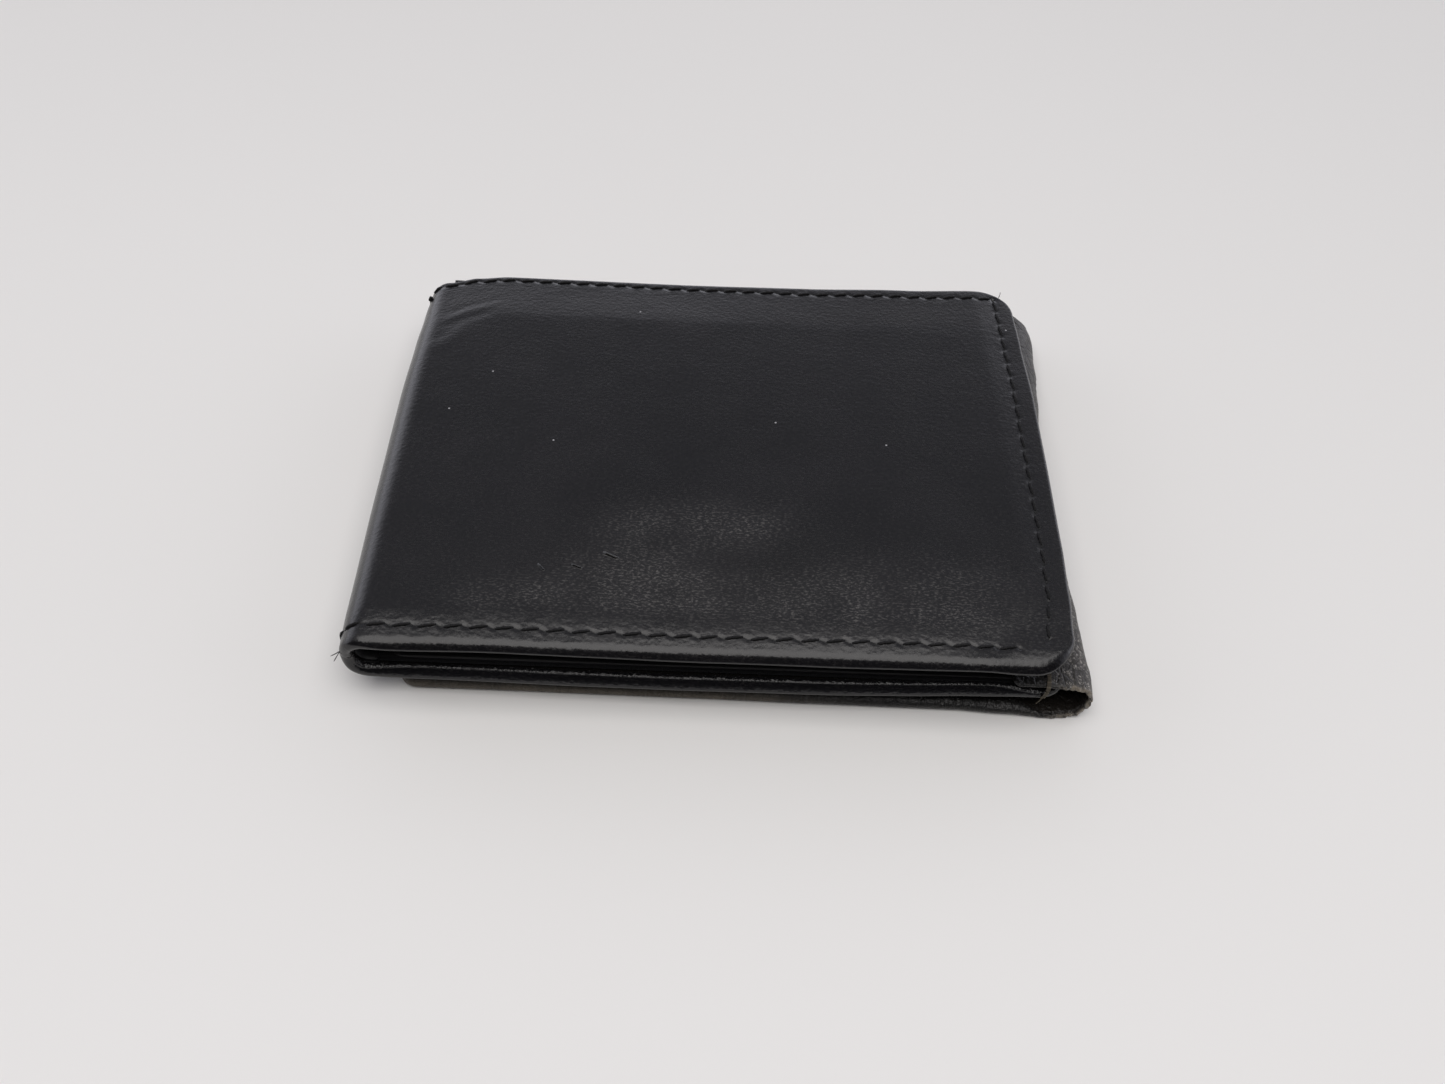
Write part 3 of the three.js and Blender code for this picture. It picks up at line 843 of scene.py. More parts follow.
# how far the edges bow or sag: crest_line and free_edge along y, the others along x
crest_line = curve([(-44, 0.25), (-36, 0.05), (-14, -0.15), (10, -0.2), (26, 0.15), (36, 0.55), (44, 1.0)])
far_bow = curve([(-58.5, 5.2), (-53, 3.7), (-48, 2.2), (-42, 1.5), (-8, 1.6), (15, 1.5), (33, 0.9),
                 (50, 0.0)])
near_wave = curve([(-58, -0.1), (-50, -0.05), (-37, 0.1), (-20, -0.15), (-4, -0.3), (14, -0.15), (34, 0.1),
                   (46, -0.1), (54, -0.15)])
near_slump = curve([(-58, 0.0), (-48, 0.35), (-32, 0.3), (0, 0.5), (18, 0.58), (29, 0.48), (40, 0.2),
                    (46, 0.6), (54, 0.65)])
near_reach = curve([(-58, 0.0), (-50, 0.35), (-32, 0.2), (0, 0.2), (40, 0.35), (53, 0.25)])
near_bow = curve([(-57, 0.5), (-45, 0.3), (-20, 0.6), (-5, 0.75), (15, 0.7), (38, 0.3), (52, 0.1)])
near_sag = curve([(-58, 0.0), (-48, 0.2), (-20, 0.2), (10, 0.05), (28, -0.15), (40, -0.65), (50, -0.4)])
free_edge = curve([(-44, -1.25), (-38, -0.75), (-30, -0.2), (-20, 0.15), (0, 0.35), (14, 0.4), (28, 0.0),
                   (40, -0.3), (44, -0.5)])
broad = ripples(3, 26.0)
small = ripples(8, 7.0)


def leaf_warp(points):
    """The closed wallet's slightly bowed edges, and the back leaf's near edge sagging forwards."""
    x, y, z = points[..., 0], points[..., 1], points[..., 2]
    upper, lower = ease((z - SPINE_MIDDLE) / 3.0), ease((SPINE_MIDDLE - z) / 3.0)
    near = ease((-31 - y) / 12)
    y_new = y - far_bow(x) * ease((y - 4) / (FAR - 4)) ** 1.5 - near * (lower * near_bow(x) + 0.15 * upper)
    y_new = y_new - upper * near_reach(x) * ease((NEAR + 3.0 - y) / 3.0)
    z_new = z + upper * near_wave(x) * ease((-8 - y) / 28) - lower * near * near_sag(x)
    return np.stack([x + upper * free_edge(y) * ease((x - 34) / 16), y_new, z_new], -1)


def spine_shift(y):
    return -crest_line(y)


top_fold = Fold(SPINE_X, SPINE_MIDDLE, SPINE_RADIUS, -1, 1, spine_shift)
bottom_fold = Fold(SPINE_X, SPINE_MIDDLE, SPINE_RADIUS, -1, -1, spine_shift)

BACK_NEAR = back_low[1]
FRONT_LENGTH, BACK_LENGTH = front_high[0] - SPINE_X, back_high[0] - SPINE_X
FRONT_END, BACK_END = top_fold.arc + FRONT_LENGTH, bottom_fold.arc + BACK_LENGTH
NEAR_INSET, FREE_INSET = 3.35, 3.5
FAR_PITCH = 3.5
# how far in the far seam runs, along x, and the free one, along y
far_line = curve([(-58, 1.55), (-30, 1.6), (-6, 2.0), (18, 2.3), (50, 2.6)])
free_line = curve([(-40, 4.2), (-30, 3.6), (0, 3.6), (40, 3.3)])

PAST_CREST = -1.0  # where the front leaf's seams start, just round the fold

front_seams = [
    Seam(PAST_CREST, top_fold.s_of(45.3), NEAR + NEAR_INSET, True),
    Seam(NEAR + 5.0, FAR - 2.6, lambda y: FRONT_END - free_line(y), False, 3.6, pucker=0.0),
    Seam(PAST_CREST, FRONT_END - FREE_INSET + 0.2, lambda s: FAR - far_line(top_fold.x_of(s)), True,
         FAR_PITCH, pucker=0.004),
]
front_dent = dents(front_seams)

CARD_BULGE, CARD_CORNER = 0.55, 13.0
# the middle's x and y, length, width and angle
SCRATCHES = [(-18.0, -26.0, 3.0, 0.75, -25), (-23.1, -28.4, 2.0, 0.5, -24), (-28.6, -28.9, 1.8, 0.5, -50)]
# the same, after a height
CORNER_CREASES = [
    (-0.055, -48.4, 30.0, 10.0, 2.6, 26),
    (0.06, -48.6, 32.2, 11.0, 2.8, 28),
    (-0.05, -47.0, 34.4, 10.0, 2.2, 22),
    (-0.05, -51.5, 26.0, 8.0, 2.6, 50),
    (0.04, -50.0, 24.0, 8.0, 2.6, 56),
]
# patches where the polish is dulled and the painted glints gather: height, middle's x and y, length, width
# and angle
HAZE_AND_GLINT_PATCHES = [
    (0.9, -4, -19, 30, 9, 4),
    (0.7, -14, -28, 22, 8, 0),
    (0.9, 10, -35, 80, 6, -1),
    (0.6, -31, -35, 22, 7, 5),
    (0.6, 30, -29, 34, 9, 0),
    (0.4, 0, -30, 40, 5, 0),
    (0.3, 0, -39.8, 96, 2.6, 0),
]
LEATHER = smooth_leather(SCRATCHES)


def front_lift(s, y):
    """The front leaf's shape: the bulge worn in by the cards, its seams, creases and slight unevenness."""
    x = top_fold.x_of(s)
    inside = box_distance(x, y, SPINE_X - 20, 48.0, NEAR + 5.0, 80.0, CARD_CORNER)
    bulge = CARD_BULGE - 0.34 * (1 - ease((inside + 3.4) / 5.0))
    past = -box_distance(x, y, SPINE_X, 47.5, -80.0, 31.2, CARD_CORNER)
    slope = (0.008 + 0.052 * ease((y - 14) / 12)) * (1.1 - 0.7 * ease((x + 15) / 50))
    settle = -slope * (np.sqrt(past ** 2 + 1.0) + past) / 2
    near_edge = -near_slump(x) * np.clip((NEAR + 3.3 - y) / 3.3, 0, 1) ** 1.5
    uneven = 0.028 * broad(x, y) + 0.006 * small(x, y)
    shape = bulge + settle + near_edge + uneven + mounds(x, y, CORNER_CREASES)
    return np.maximum(ease(s / top_fold.arc) * shape - front_dent(s, y), -0.72)


def front_roll(s, y):
    at_far = ease((y + 10) / 45)
    free = ease((top_fold.x_of(s) - 47) / 5) * ease((y + 43) / 5)
    return (1.15 * (1 - at_far) + 0.85 * at_far) * (1 - 0.45 * free)


def front_shaped(s, y):
    return ease((-37.5 - y) / 4.5) * ease((s - 4) / 6)


def front_wear(s, y):
    x = top_fold.x_of(s)
    edge = np.minimum(np.minimum(y - NEAR, FAR - y), FRONT_END - s)
    rubbed_edge = 0.15 * np.exp(-((edge - 0.4) / 1.1) ** 2)
    crest = 0.45 * np.exp(-(s / 3.0) ** 2)
    band = 0.2 * ease((y - 31) / 3) * ease((43 - y) / 6)
    handled = 0.25 * np.exp(-((y + 30) / 10) ** 2) * np.exp(-((x + 5) / 34) ** 2)
    return np.clip(rubbed_edge + crest + band + handled, 0, 1)


def front_haze_and_glints(s, y):
    """Where handling has dulled the polish, towards the near edge, and where the painted glints gather."""
    return np.clip(mounds(top_fold.x_of(s), y, HAZE_AND_GLINT_PATCHES), 0, 1)


def with_front(piece):
    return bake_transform(piece)


def with_back(piece):
    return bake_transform(piece)


rng = np.random.default_rng(11)
front_sheet = Sheet(top_fold, FRONT_LENGTH, NEAR, FAR, 6.2, front_roll, front_lift, 0.7, (0.33, 0.36), 22,
                    warp=leaf_warp, shaped=front_shaped, section=Section((33, 1.7), (46, 3.5), (180, 0.36)))
front_leather = with_front(front_sheet.build("front_leather", LEATHER, {
    "wear": front_wear, "seam": seam_field(front_seams), "haze_and_glints": front_haze_and_glints,
    "shaded_mark": hole_shade_field(front_seams, SCRATCHES)}))
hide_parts("front_outer_leather", "spine_outer_leather")

front_stitches = with_front(sew("front_stitches", front_sheet, front_seams))
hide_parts("front_seam_thread", "spine_seam_thread_bottom", "spine_seam_thread_top")

back_free_s = BACK_END - FREE_INSET
back_seams = [
    Seam(1.5, back_free_s - 3, BACK_NEAR + NEAR_INSET, True),
    Seam(BACK_NEAR + 6.5, FAR - 2.4, back_free_s, False, 3.6),
    Seam(1.5, back_free_s, FAR - 2.4, True, FAR_PITCH),
]
back_dent = dents(back_seams)
back_broad = ripples(21, 30.0)


def back_roll(s, y):
    near = 1.1 - 0.4 * ease((bottom_fold.x_of(s) - 41) / 9)
    at_far = ease((y + 38) / 20)
    return near * (1 - at_far) + 0.85 * at_far


def back_shaped(s, y):
    return ease((-36 - y) / 6) * ease((s - 1) / 14) * ease((49 - bottom_fold.x_of(s)) / 9)


def back_lift(s, y):
    return ease(s / bottom_fold.arc) * 0.05 * back_broad(bottom_fold.x_of(s), y) - back_dent(s, y)


def back_wear(s, y):
    edge = np.minimum(np.minimum(y - BACK_NEAR, FAR - y), BACK_END - s)
    return np.clip(0.1 * np.exp(-((edge - 0.4) / 1.2) ** 2) + 0.45 * np.exp(-(s / 3.0) ** 2) + 0.05, 0, 1)


def back_grainy(s, y):
    """The grain is raised where the leather is pulled round the near edge."""
    return ease((NEAR + 3.0 - y) / 2.0)


back_sheet = Sheet(bottom_fold, BACK_LENGTH, NEAR, FAR, 5.0, back_roll, back_lift, 0.7, (0.9, 0.9), 10,
                   warp=leaf_warp, shaped=back_shaped, section=Section((115, 0.5), (135, 4.4), (180, 0.6)))
back_leather = with_back(back_sheet.build("back_leather", LEATHER, {
    "wear": back_wear, "seam": seam_field(back_seams), "shaded_mark": hole_shade_field(back_seams),
    "grainy": back_grainy}))
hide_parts("back_outer_leather", "spine_outer_leather")

back_stitches = with_back(sew("back_stitches", back_sheet, back_seams))
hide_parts("back_seam_thread")


# ---------------------------------------------------------------- linings inside the main fold

def fold_lining(name, node, up, wrap, thickness):
    low, high = node_box(node)
    fold = Fold(SPINE_X, SPINE_MIDDLE, SPINE_X - low[0], -1, up, spine_shift)
    sheet = Sheet(fold, 0.9, low[1], high[1] - 1.4, 0.5, lambda s, y: 0.0 * s + thickness * 0.6,
                  lambda s, y: 0.03 * small(s, y), thickness, (0.4, 2.5), 2, fold_lines=10, hem=0.02)
    piece = wrap(sheet.build(name, INNER, {}))
    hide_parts(node)


for leaf, up, wrap in (("front", 1, with_front), ("back", -1, with_back)):
    fold_lining(f"{leaf}_fold_bill_lining", "spine_bill_lining", up, wrap, 0.15)
    fold_lining(f"{leaf}_fold_panel_lining", "spine_panel_lining", up, wrap, 0.3)


# ---------------------------------------------------------------- the flap's hinge and the flap

hinge_crest = curve([(-44, -0.3), (-40, -0.1), (-34, -0.35), (-16, -0.9), (-2, -0.6), (12, -0.4), (22, 0.6),
                     (31, 1.5), (38.5, 1.8), (40.8, 1.4), (42.0, 0.1)])
floor_line = curve([(-40, 0.0), (-5, 0.2), (14, 0.4), (36, 0.5), (44, 0.9), (50, 1.1), (55, 0.5), (58, 0.2)])
upper_fold = Fold(HINGE_X, HINGE_RADIUS, HINGE_RADIUS, 1, 1, hinge_crest)
lower_fold = Fold(HINGE_X, HINGE_RADIUS, HINGE_RADIUS, 1, -1, hinge_crest)
cracks = ripples(31, 2.6, 18)
sag = ripples(33, 11.0)
ragged = ripples(41, 1.7, 16)

hinge_near, hinge_far = tab_low[1], tab_high[1]
TAB_LENGTH = HINGE_X - tab_low[0]
tab_seam = Seam(hinge_near + 6, hinge_far - 2.5, upper_fold.arc + TAB_LENGTH - 2.2, False, 3.4)
CUT_EDGE = 0.36


def with_hinge_top(piece):
    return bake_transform(piece)


def with_flap(piece):
    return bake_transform(piece)


def hinge_lift(s, y):
    crest = np.exp(-(s / 4.0) ** 2)
    near_end = np.exp(-((y - hinge_near) / 3.5) ** 2)
    return (0.05 * crest * cracks(s, y) + 0.10 * sag(s, y) * (0.3 + crest)
            + 0.16 * near_end * crest * cracks(y, s) - tab_seam.dent(s, y))


def hinge_wear(s, y):
    near_end = ease((-20 - y) / 18)
    return np.clip(0.1 + 0.75 * np.exp(-(s / 6.0) ** 2) * (0.3 + 0.7 * near_end), 0, 1)


def hinge_flake(s, y):
    """Where the finish has flaked off the fold."""
    return ease((-14 - y) / 22) * np.exp(-((s - 3) / 6.5) ** 2)


def hinge_edge(s, y):
    """The frayed cut edge at the hinge's near end."""
    return np.exp(-((y - hinge_near) / 0.5) ** 2) * ease((9.5 - s) / 4)


def hinge_warp(points):
    """The hinge's cut near edge is ragged, and it has stretched past the leaf at its far end."""
    x, y, z = points[..., 0], points[..., 1], points[..., 2]
    y = y + 1.9 * ease((y - 26) / 16) * ease((x - 30) / 20)
    y = y - floor_line(x) * ease((2.6 - z) / 1.5) * ease((-30 - y) / 12)
    loose = ease((hinge_near + 2.5 - y) / 2.5) * ease((x - (HINGE_X - 6)) / 6)
    return np.stack([x, y - loose * (0.35 + 0.28 * ragged(x * 1.3, z * 1.3)), z], -1)


tab_sheet = Sheet(upper_fold, TAB_LENGTH, hinge_near, hinge_far, 1.2, lambda s, y: 0.0 * s + CUT_EDGE,
                  hinge_lift, 0.5, (0.5, 0.55), 4, fold_lines=16, hem=0.15, warp=hinge_warp)
hinge_leather = with_hinge_top(tab_sheet.build("hinge_leather", WORN, {
    "wear": hinge_wear, "edge": hinge_edge, "flake": hinge_flake}))
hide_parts("hinge_tab_leather", "hinge_fold_leather")

hinge_stitches = with_hinge_top(sew("hinge_stitches", tab_sheet, [tab_seam]))
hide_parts("hinge_tab_thread")

flap_near, flap_far = flap_low[1], flap_high[1]
FLAP_LENGTH = HINGE_X - flap_low[0]
flap_end = lower_fold.arc + FLAP_LENGTH
WINDOW_LIP, WINDOW_SEAM, WINDOW_CORNER = 4.0, 2.0, 3.0
window_s = [float(lower_fold.s_of(x)) for x in (window_high[0] - WINDOW_LIP, window_low[0] + WINDOW_LIP)]
window_y = [window_low[1] + WINDOW_LIP, window_high[1] - WINDOW_LIP]
round_s, round_y = ((low - WINDOW_SEAM, high + WINDOW_SEAM) for low, high in (window_s, window_y))
flap_seams = [
    Seam(14.0, flap_end - 5, flap_near + NEAR_INSET, True),
    Seam(flap_near + 5, flap_far - 5, flap_end - FREE_INSET, False, 3.7),
    Seam(14.0, flap_end - 5, flap_far - NEAR_INSET, True),
    *(Seam(*round_s, y, True) for y in round_y),
    *(Seam(*round_y, s, False, 3.7) for s in round_s),
]
flap_dent = dents(flap_seams)


def flap_roll(s, y):
    return CUT_EDGE + 0.66 * ease((s - 8) / 7)


def window_distance(s, y):
    return box_distance(s, y, *window_s, *window_y, WINDOW_CORNER)


def flap_lift(s, y):
    """Lies flat on the floor, with its window's edge turned up and a few waves over the fold."""
    crest = np.exp(-(s / 4.0) ** 2)
    lip = -0.35 * ease(1 - np.maximum(-window_distance(s, y), 0) / 0.9)
    return 0.05 * crest * cracks(s, y) + 0.10 * crest * sag(s, y) + lip - flap_dent(s, y)


def flap_wear(s, y):
    edge = np.minimum(np.minimum(y - flap_near, flap_far - y), flap_end - s)
    crest = np.exp(-(s / 5.0) ** 2) * (0.45 + 0.55 * ease((-20 - y) / 18))
    rubbed_edge = np.exp(-((edge + 0.3) / 1.6) ** 2) * ease((28 - lower_fold.x_of(s)) / 22)
    return np.clip(0.10 + 0.4 * rubbed_edge + 0.5 * crest, 0, 1)


def flap_fuzz(s, y):
    edge = np.minimum(y - flap_near, flap_end - s)
    return np.exp(-((edge - 0.2) / 1.6) ** 2) * ease((20 - lower_fold.x_of(s)) / 26)


def window_hole(s, y):
    """Moves the points round the window onto its outline. Returns s, y and which points fall inside it."""
    step = 0.01
    distance = window_distance(s, y)
    inside = distance > 0.3
    ds = (window_distance(s + step, y) - window_distance(s - step, y)) / (2 * step)
    dy = (window_distance(s, y + step) - window_distance(s, y - step)) / (2 * step)
    beside = np.zeros_like(inside)
    rows, columns = inside.shape
    for down, right in ((0, 1), (2, 1), (1, 0), (1, 2), (0, 0), (2, 2), (0, 2), (2, 0)):
        beside[1:-1, 1:-1] |= inside[down:rows - 2 + down, right:columns - 2 + right]
    move = np.where(beside & ~inside, distance, 0.0)
    return s - move * ds, y - move * dy, inside


flap_sheet = Sheet(lower_fold, FLAP_LENGTH, flap_near, flap_far, 2.8, flap_roll, flap_lift, 0.6,
                   (0.75, 0.75), 12, fold_lines=16, warp=hinge_warp)
flap_leather = with_flap(flap_sheet.build("flap_leather", WORN, {
    "wear": flap_wear, "edge": hinge_edge, "flake": hinge_flake, "fuzz": flap_fuzz}, drop=window_hole))
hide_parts("flap_face_leather", "hinge_fold_leather")

flap_stitches = with_flap(sew("flap_stitches", flap_sheet, flap_seams, lie=-0.16))
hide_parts("flap_seam_thread")


# ---------------------------------------------------------------- panels and pockets

card = ripples(51, 30.0)
SLAB_STITCH, SLAB_THREAD = 3.4, 0.19  # a stitch's length and its strand's radius
PANEL_STEP, POCKET_STEP = 1.6, 1.0  # between the mesh's lines


class Slab:
    """A thin rounded piece of leather on a leaf's inner side. face is 1 when its showing side looks up."""

    def __init__(self, node, face, corner, lift):
        self.node, self.face, self.corner, self.lift = node, face, corner, lift
        self.low, self.high = node_box(node)
        self.half = (self.high[2] - self.low[2]) / 2

    def surface(self, x, y, height):
        outer = self.high[2] if self.face > 0 else self.low[2]
        return np.stack(np.broadcast_arrays(x, y, outer + self.face * (self.lift(x, y) + height)), -1)

    def lines(self, low, high, step):
        turn = self.half * (1 - np.sin(np.linspace(QUARTER, 0, 4)))
        edge = np.concatenate([turn, np.linspace(self.half, self.corner, 4)[1:]])
        middle = np.linspace(low + self.corner, high - self.corner, int((high - low) / step) + 1)[1:-1]
        return np.concatenate([low + edge, middle, high - edge[::-1]])

    def build(self, name, step):
        low, high, corner = self.low, self.high, self.corner
        x, y = np.meshgrid(self.lines(low[0], high[0], step), self.lines(low[1], high[1], step))
        u_low, u_high = 1 - (x - low[0]) / corner, 1 - (high[0] - x) / corner
        v_low, v_high = 1 - (y - low[1]) / corner, 1 - (high[1] - y) / corner
        u, v = np.maximum(u_low, u_high), np.maximum(v_low, v_high)
        in_corner, u1, v1 = round_corner(u, v)
        x = np.where(u_low > u_high, low[0] + corner * (1 - u1), high[0] - corner * (1 - u1))
        y = np.where(v_low > v_high, low[1] + corner * (1 - v1), high[1] - corner * (1 - v1))
        distance = np.where(in_corner, corner * (1 - np.hypot(u1, v1)), corner * (1 - np.maximum(u, v)))
        inward = np.clip(self.half - distance, 0, self.half)
        depth = self.half - np.sqrt(np.maximum(self.half ** 2 - inward ** 2, 0))
        lift = self.lift(x, y) * ease(distance / self.half)
        top = high[2] - depth + (lift if self.face > 0 else 0)
        bottom = low[2] + depth - (lift if self.face < 0 else 0)
        rows, columns = x.shape
        free = np.zeros((rows, columns), bool)
        free[1:-1, 1:-1] = True
        under = np.arange(rows * columns).reshape(rows, columns)
        under[free] = rows * columns + np.arange(free.sum())
        upper, lower = (np.stack([x, y, z], -1).reshape(-1, 3) for z in (top, bottom))
        free = free.ravel()
        faces = grid_faces(rows, columns, False)
        rubbed = (np.exp(-(distance / 0.9) ** 2) * ease((y - high[1] + 3.0) / 2.0)).ravel()
        piece = link(name, np.concatenate([upper, lower[free]]),
                     np.concatenate([faces, under.ravel()[faces][:, ::-1]]), INNER,
                     np.concatenate([upper, upper[free]])[:, :2] / UV_MM,
                     {"wear": np.concatenate([rubbed, rubbed[free]])})
        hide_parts(self.node)
        return piece

    def stitches(self, x0, y0, x1, y1):
        """A row of stitches on the showing side, from one point to another."""
        length = math.hypot(x1 - x0, y1 - y0)
        count = max(int(round(length / SLAB_STITCH)), 1)
        t = np.linspace(0, 1, 8)
        made = []
        for i in range(count):
            u = (i + 0.06 + 0.88 * t) / count
            aside = rng.uniform(-0.04, 0.04) + 0.12 * (t - 0.5)
            x = x0 + (x1 - x0) * u - (y1 - y0) / length * aside
            y = y0 + (y1 - y0) * u + (x1 - x0) / length * aside
            height = 0.10 - 0.3 * np.abs(2 * t - 1) ** 5
            made.append(tube(self.surface(x, y, height), SLAB_THREAD, lobes=2, twist=3.0))
        return made


def plain_slab(node, face):
    """A panel's leather, barely uneven over the cards."""
    return Slab(node, face, 3.0, lambda x, y: 0.04 * card(x, y))


def card_pocket(node, face):
    """A pocket, with a pressed line below its mouth and the faint outline of the card in it."""
    low, high = node_box(node)

    def lift(x, y):
        line = -0.14 * np.exp(-((y - (high[1] - 2.2)) / 0.6) ** 2)
        outline = box_distance(x, y, low[0] + 3.5, high[0] - 3.5, low[1] + 3.0, high[1] + 20, 3.0)
        return line + 0.16 * ease(outline / 1.5) + 0.03 * card(x, y)

    return Slab(node, face, 1.0, lift)


def carry(body, pieces):
    """Fixes the pieces to a body."""
    for piece in pieces:
        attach(piece, body)


SIDE_SEAM, TOP_SEAM, BOTTOM_SEAM = 1.3, 0.8, 1.2  # how far in from a pocket's edges


def add_inside(leaf, body, face):
    """The inner panel, its three stepped card pockets and their stitching."""
    panel = plain_slab(f"{leaf}_panel_leather", face)
    pockets = [card_pocket(f"{leaf}_card_pocket_{number}", face) for number in (1, 2, 3)]
    pieces = [panel.build(f"{leaf}_panel", PANEL_STEP)]
    threads = []
    for i, pocket in enumerate(pockets):
        pieces.append(pocket.build(f"{leaf}_pocket_{i + 1}", POCKET_STEP))
        left, right = pocket.low[0] + SIDE_SEAM, pocket.high[0] - SIDE_SEAM
        top = pocket.high[1] - TOP_SEAM
        bottom = pocket.low[1] + BOTTOM_SEAM if pocket is pockets[-1] else pockets[i + 1].high[1] + 0.6
        for x in (left, right):
            threads += pocket.stitches(x, bottom, x, top)
        if pocket is pockets[-1]:
            threads += pocket.stitches(left, bottom, right, bottom)
    y = panel.high[1] - 1.6
    threads += panel.stitches(panel.low[0] + 2, y, panel.high[0] - 2, y)
    pieces.append(join_tubes(f"{leaf}_panel_stitches", threads, BLACK_THREAD))
    carry(body, pieces)


def add_flap_back():
    """The flap's hidden side: its back leather and the one pocket sewn on it."""
    back, pocket = plain_slab("flap_back_leather", 1), card_pocket("flap_card_pocket", 1)
    pieces = [back.build("flap_back", PANEL_STEP), pocket.build("flap_pocket", POCKET_STEP)]
    left, right = pocket.low[0] + SIDE_SEAM, pocket.high[0] - SIDE_SEAM
    bottom, top = pocket.low[1] + BOTTOM_SEAM, pocket.high[1] - TOP_SEAM
    threads = pocket.stitches(left, bottom, right, bottom)
    for x in (left, right):
        threads += pocket.stitches(x, bottom, x, top)
    low, high = back.low, back.high
    threads += back.stitches(low[0] + 2, high[1] - 1.8, high[0] - 3, high[1] - 1.8)
    threads += back.stitches(low[0] + 1.8, low[1] + 4, low[0] + 1.8, high[1] - 4)
    pieces.append(join_tubes("flap_back_stitches", threads, BLACK_THREAD))
    carry("id_flap", pieces)


add_inside("front", "front_leaf", -1)
add_inside("back", "back_leaf", 1)
add_flap_back()


# ---------------------------------------------------------------- bar tack and loose thread ends

def add_bar_tack():
    """Three strands of faded thread looped from the hinge over the back leaf's bottom edge."""
    low, high = node_box("hinge_bar_tack")
    middle = (low[0] + high[0]) / 2
    out, top, bottom = low[1] - 0.15, high[2], low[2]
    strands = []
    for i, (dx, lean) in enumerate(((-0.2, -0.35), (0.0, -0.15), (0.18, -0.5))):
        path = [(middle + dx + aside, y, z) for aside, y, z in (
            (0.5, hinge_near + 3.2, top - 0.55),
            (0.4, hinge_near + 2.4, top + 0.02),
            (0.25, hinge_near + 1.0, top + 0.12),
            (0.1, hinge_near - 0.1, top - 0.15),
            (0.0, out - 0.12, top - 0.9),
            (lean * 0.5, out - 0.22, top - 1.9),
            (lean, out - 0.05, bottom + 0.75),
            (lean * 1.2, out + 0.5, bottom + 0.1))]
        strands.append(tube(smooth_path(path, 28), 0.16 - 0.015 * i, lobes=2, twist=3.4))
    end = [(middle - 0.3, out - 0.1, bottom + 0.9), (middle - 0.9, out - 0.5, bottom + 0.5),
           (middle - 1.3, out - 0.6, bottom - 0.2)]
    strands.append(tube(smooth_path(end, 12), 0.09, sides=6))
    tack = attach(join_tubes("bar_tack", strands, LOOSE_THREAD), "back_leaf")
    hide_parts("hinge_bar_tack")


def add_thread_ends():
    """Short fuzzy ends of thread at the seams' ends."""
    def near(*places):
        return [leaf_warp(top_fold.place(*np.array(place, float))) for place in places]

    ends = [near((0.2, NEAR + 1.2, 0.1), (0.1, NEAR + 0.7, -0.5), (-0.2, NEAR + 0.5, -1.3)),
            near((0.4, NEAR + 1.0, 0.1), (0.0, NEAR + 0.2, -0.3), (-0.4, NEAR - 0.3, -0.7)),
            near((3.0, FAR - 3.3, 0.1), (2.9, FAR - 3.0, -0.35), (3.2, FAR - 2.6, -0.4))]
    knot = near((2.6, FAR - 3.4, 0.0), (3.0, FAR - 3.1, -0.16), (3.5, FAR - 3.2, 0.0))
    tubes = [tube(smooth_path(end, 10), 0.07, sides=6) for end in ends]
    tubes.append(tube(smooth_path(knot, 8), 0.34, sides=10))
    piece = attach(join_tubes("spine_thread_ends", tubes, BLACK_THREAD), "spine")
    x = front_high[0]
    corner = [(x - 2.4, FAR - 1.4, FRONT_TOP - 0.9), (x - 2.0, FAR - 0.7, FRONT_TOP - 0.4),
              (x - 1.9, FAR - 0.1, FRONT_TOP - 0.2)]
    tubes = [tube(smooth_path(corner, 8), 0.06, sides=6)]
    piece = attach(join_tubes("front_thread_ends", tubes, BLACK_THREAD), "front_leaf")


add_bar_tack()
add_thread_ends()


# ---------------------------------------------------------------- CAD nodes that stay

def dress(material, *names):
    for name in names:
        node = frame["nodes"][name]
        node.data.materials.clear()
        node.data.materials.append(material)


dress(BOARD, "front_stiffener_board", "back_stiffener_board", "flap_stiffener_board")
dress(LINING, "front_bill_lining", "back_bill_lining", "front_panel_lining", "back_panel_lining")
dress(VINYL, "flap_id_window")


# ---------------------------------------------------------------- floor and light

def add_floor(half=3.0, below=0.00005):
    mesh = bpy.data.meshes.new("floor")
    corners = [(-half, -half, 0), (half, -half, 0), (half, half, 0), (-half, half, 0)]
    mesh.from_pydata(corners, [], [(0, 1, 2, 3)])
    mesh.materials.append(pale_floor())
    floor = bpy.data.objects.new("floor", mesh)
    floor.location.z = -below
    bpy.context.scene.collection.objects.link(floor)


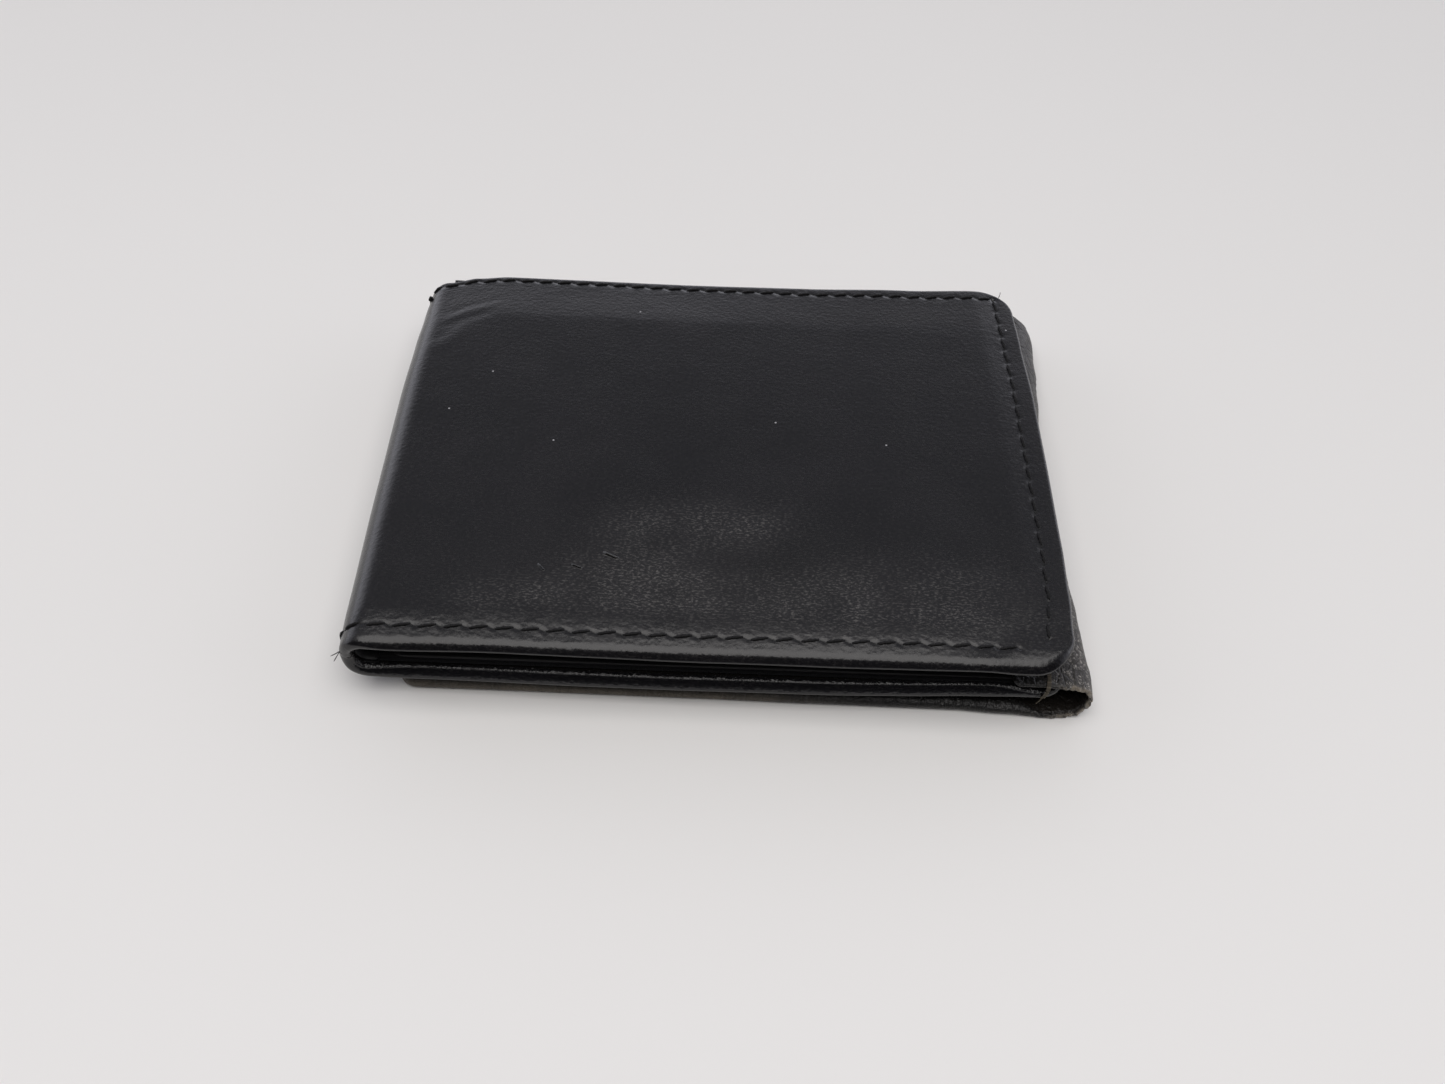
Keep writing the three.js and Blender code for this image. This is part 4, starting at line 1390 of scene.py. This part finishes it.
def add_area(name, at, look, size, watts, colour):
    lamp = bpy.data.lights.new(name, "AREA")
    lamp.shape = "RECTANGLE"
    lamp.size, lamp.size_y = size
    lamp.energy = watts
    lamp.color = colour
    thing = bpy.data.objects.new(name, lamp)
    thing.location = at
    thing.rotation_mode = "QUATERNION"
    thing.rotation_quaternion = (Vector(look) - Vector(at)).to_track_quat("-Z", "Y")
    bpy.context.scene.collection.objects.link(thing)


# (height, grey level) in the sky's lower and upper ends first, then between them
BEHIND = ((0.0, 0.85), (1.0, 0.13), (0.25, 0.74), (0.45, 0.45), (0.56, 0.175), (0.66, 0.112), (0.78, 0.13))
IN_FRONT = ((0.0, 0.04), (1.0, 0.16), (0.3, 0.01), (0.75, 0.01))


def add_world():
    """A soft studio: pale low down behind the wallet, greyer higher up and dark on the camera's side."""
    world = bpy.data.worlds.new("studio")
    world.use_nodes = True
    bpy.context.scene.world = world
    nodes, links = world.node_tree.nodes, world.node_tree.links
    coordinate = nodes.new("ShaderNodeTexCoord")
    split = nodes.new("ShaderNodeSeparateXYZ")
    links.new(coordinate.outputs["Generated"], split.inputs["Vector"])
    turn = nodes.new("ShaderNodeMapRange")
    turn.interpolation_type = "SMOOTHSTEP"
    turn.inputs["From Min"].default_value, turn.inputs["From Max"].default_value = -0.45, 0.05
    links.new(split.outputs["Y"], turn.inputs["Value"])
    mix = nodes.new("ShaderNodeMix")
    mix.data_type = "RGBA"
    links.new(turn.outputs["Result"], mix.inputs[0])
    for socket, levels in ((mix.inputs[6], IN_FRONT), (mix.inputs[7], BEHIND)):
        ramp = nodes.new("ShaderNodeValToRGB")
        links.new(split.outputs["Z"], ramp.inputs["Fac"])
        stops = ramp.color_ramp.elements
        for i, (height, level) in enumerate(levels):
            stop = stops[i] if i < 2 else stops.new(height)
            stop.position, stop.color = height, (level * 0.98, level * 0.98, level * 1.07, 1)
        links.new(ramp.outputs["Color"], socket)
    links.new(mix.outputs[2], nodes["Background"].inputs["Color"])
    nodes["Background"].inputs["Strength"].default_value = 2.0


add_floor()
add_world()
add_area("overhead", (0.0, -0.20, 0.9), (0.0, -0.20, 0.0), (1.1, 0.91), 7.6, (1.0, 0.97, 0.95))
bpy.context.scene.view_settings.view_transform = "Standard"
bpy.context.scene.view_settings.look = "None"
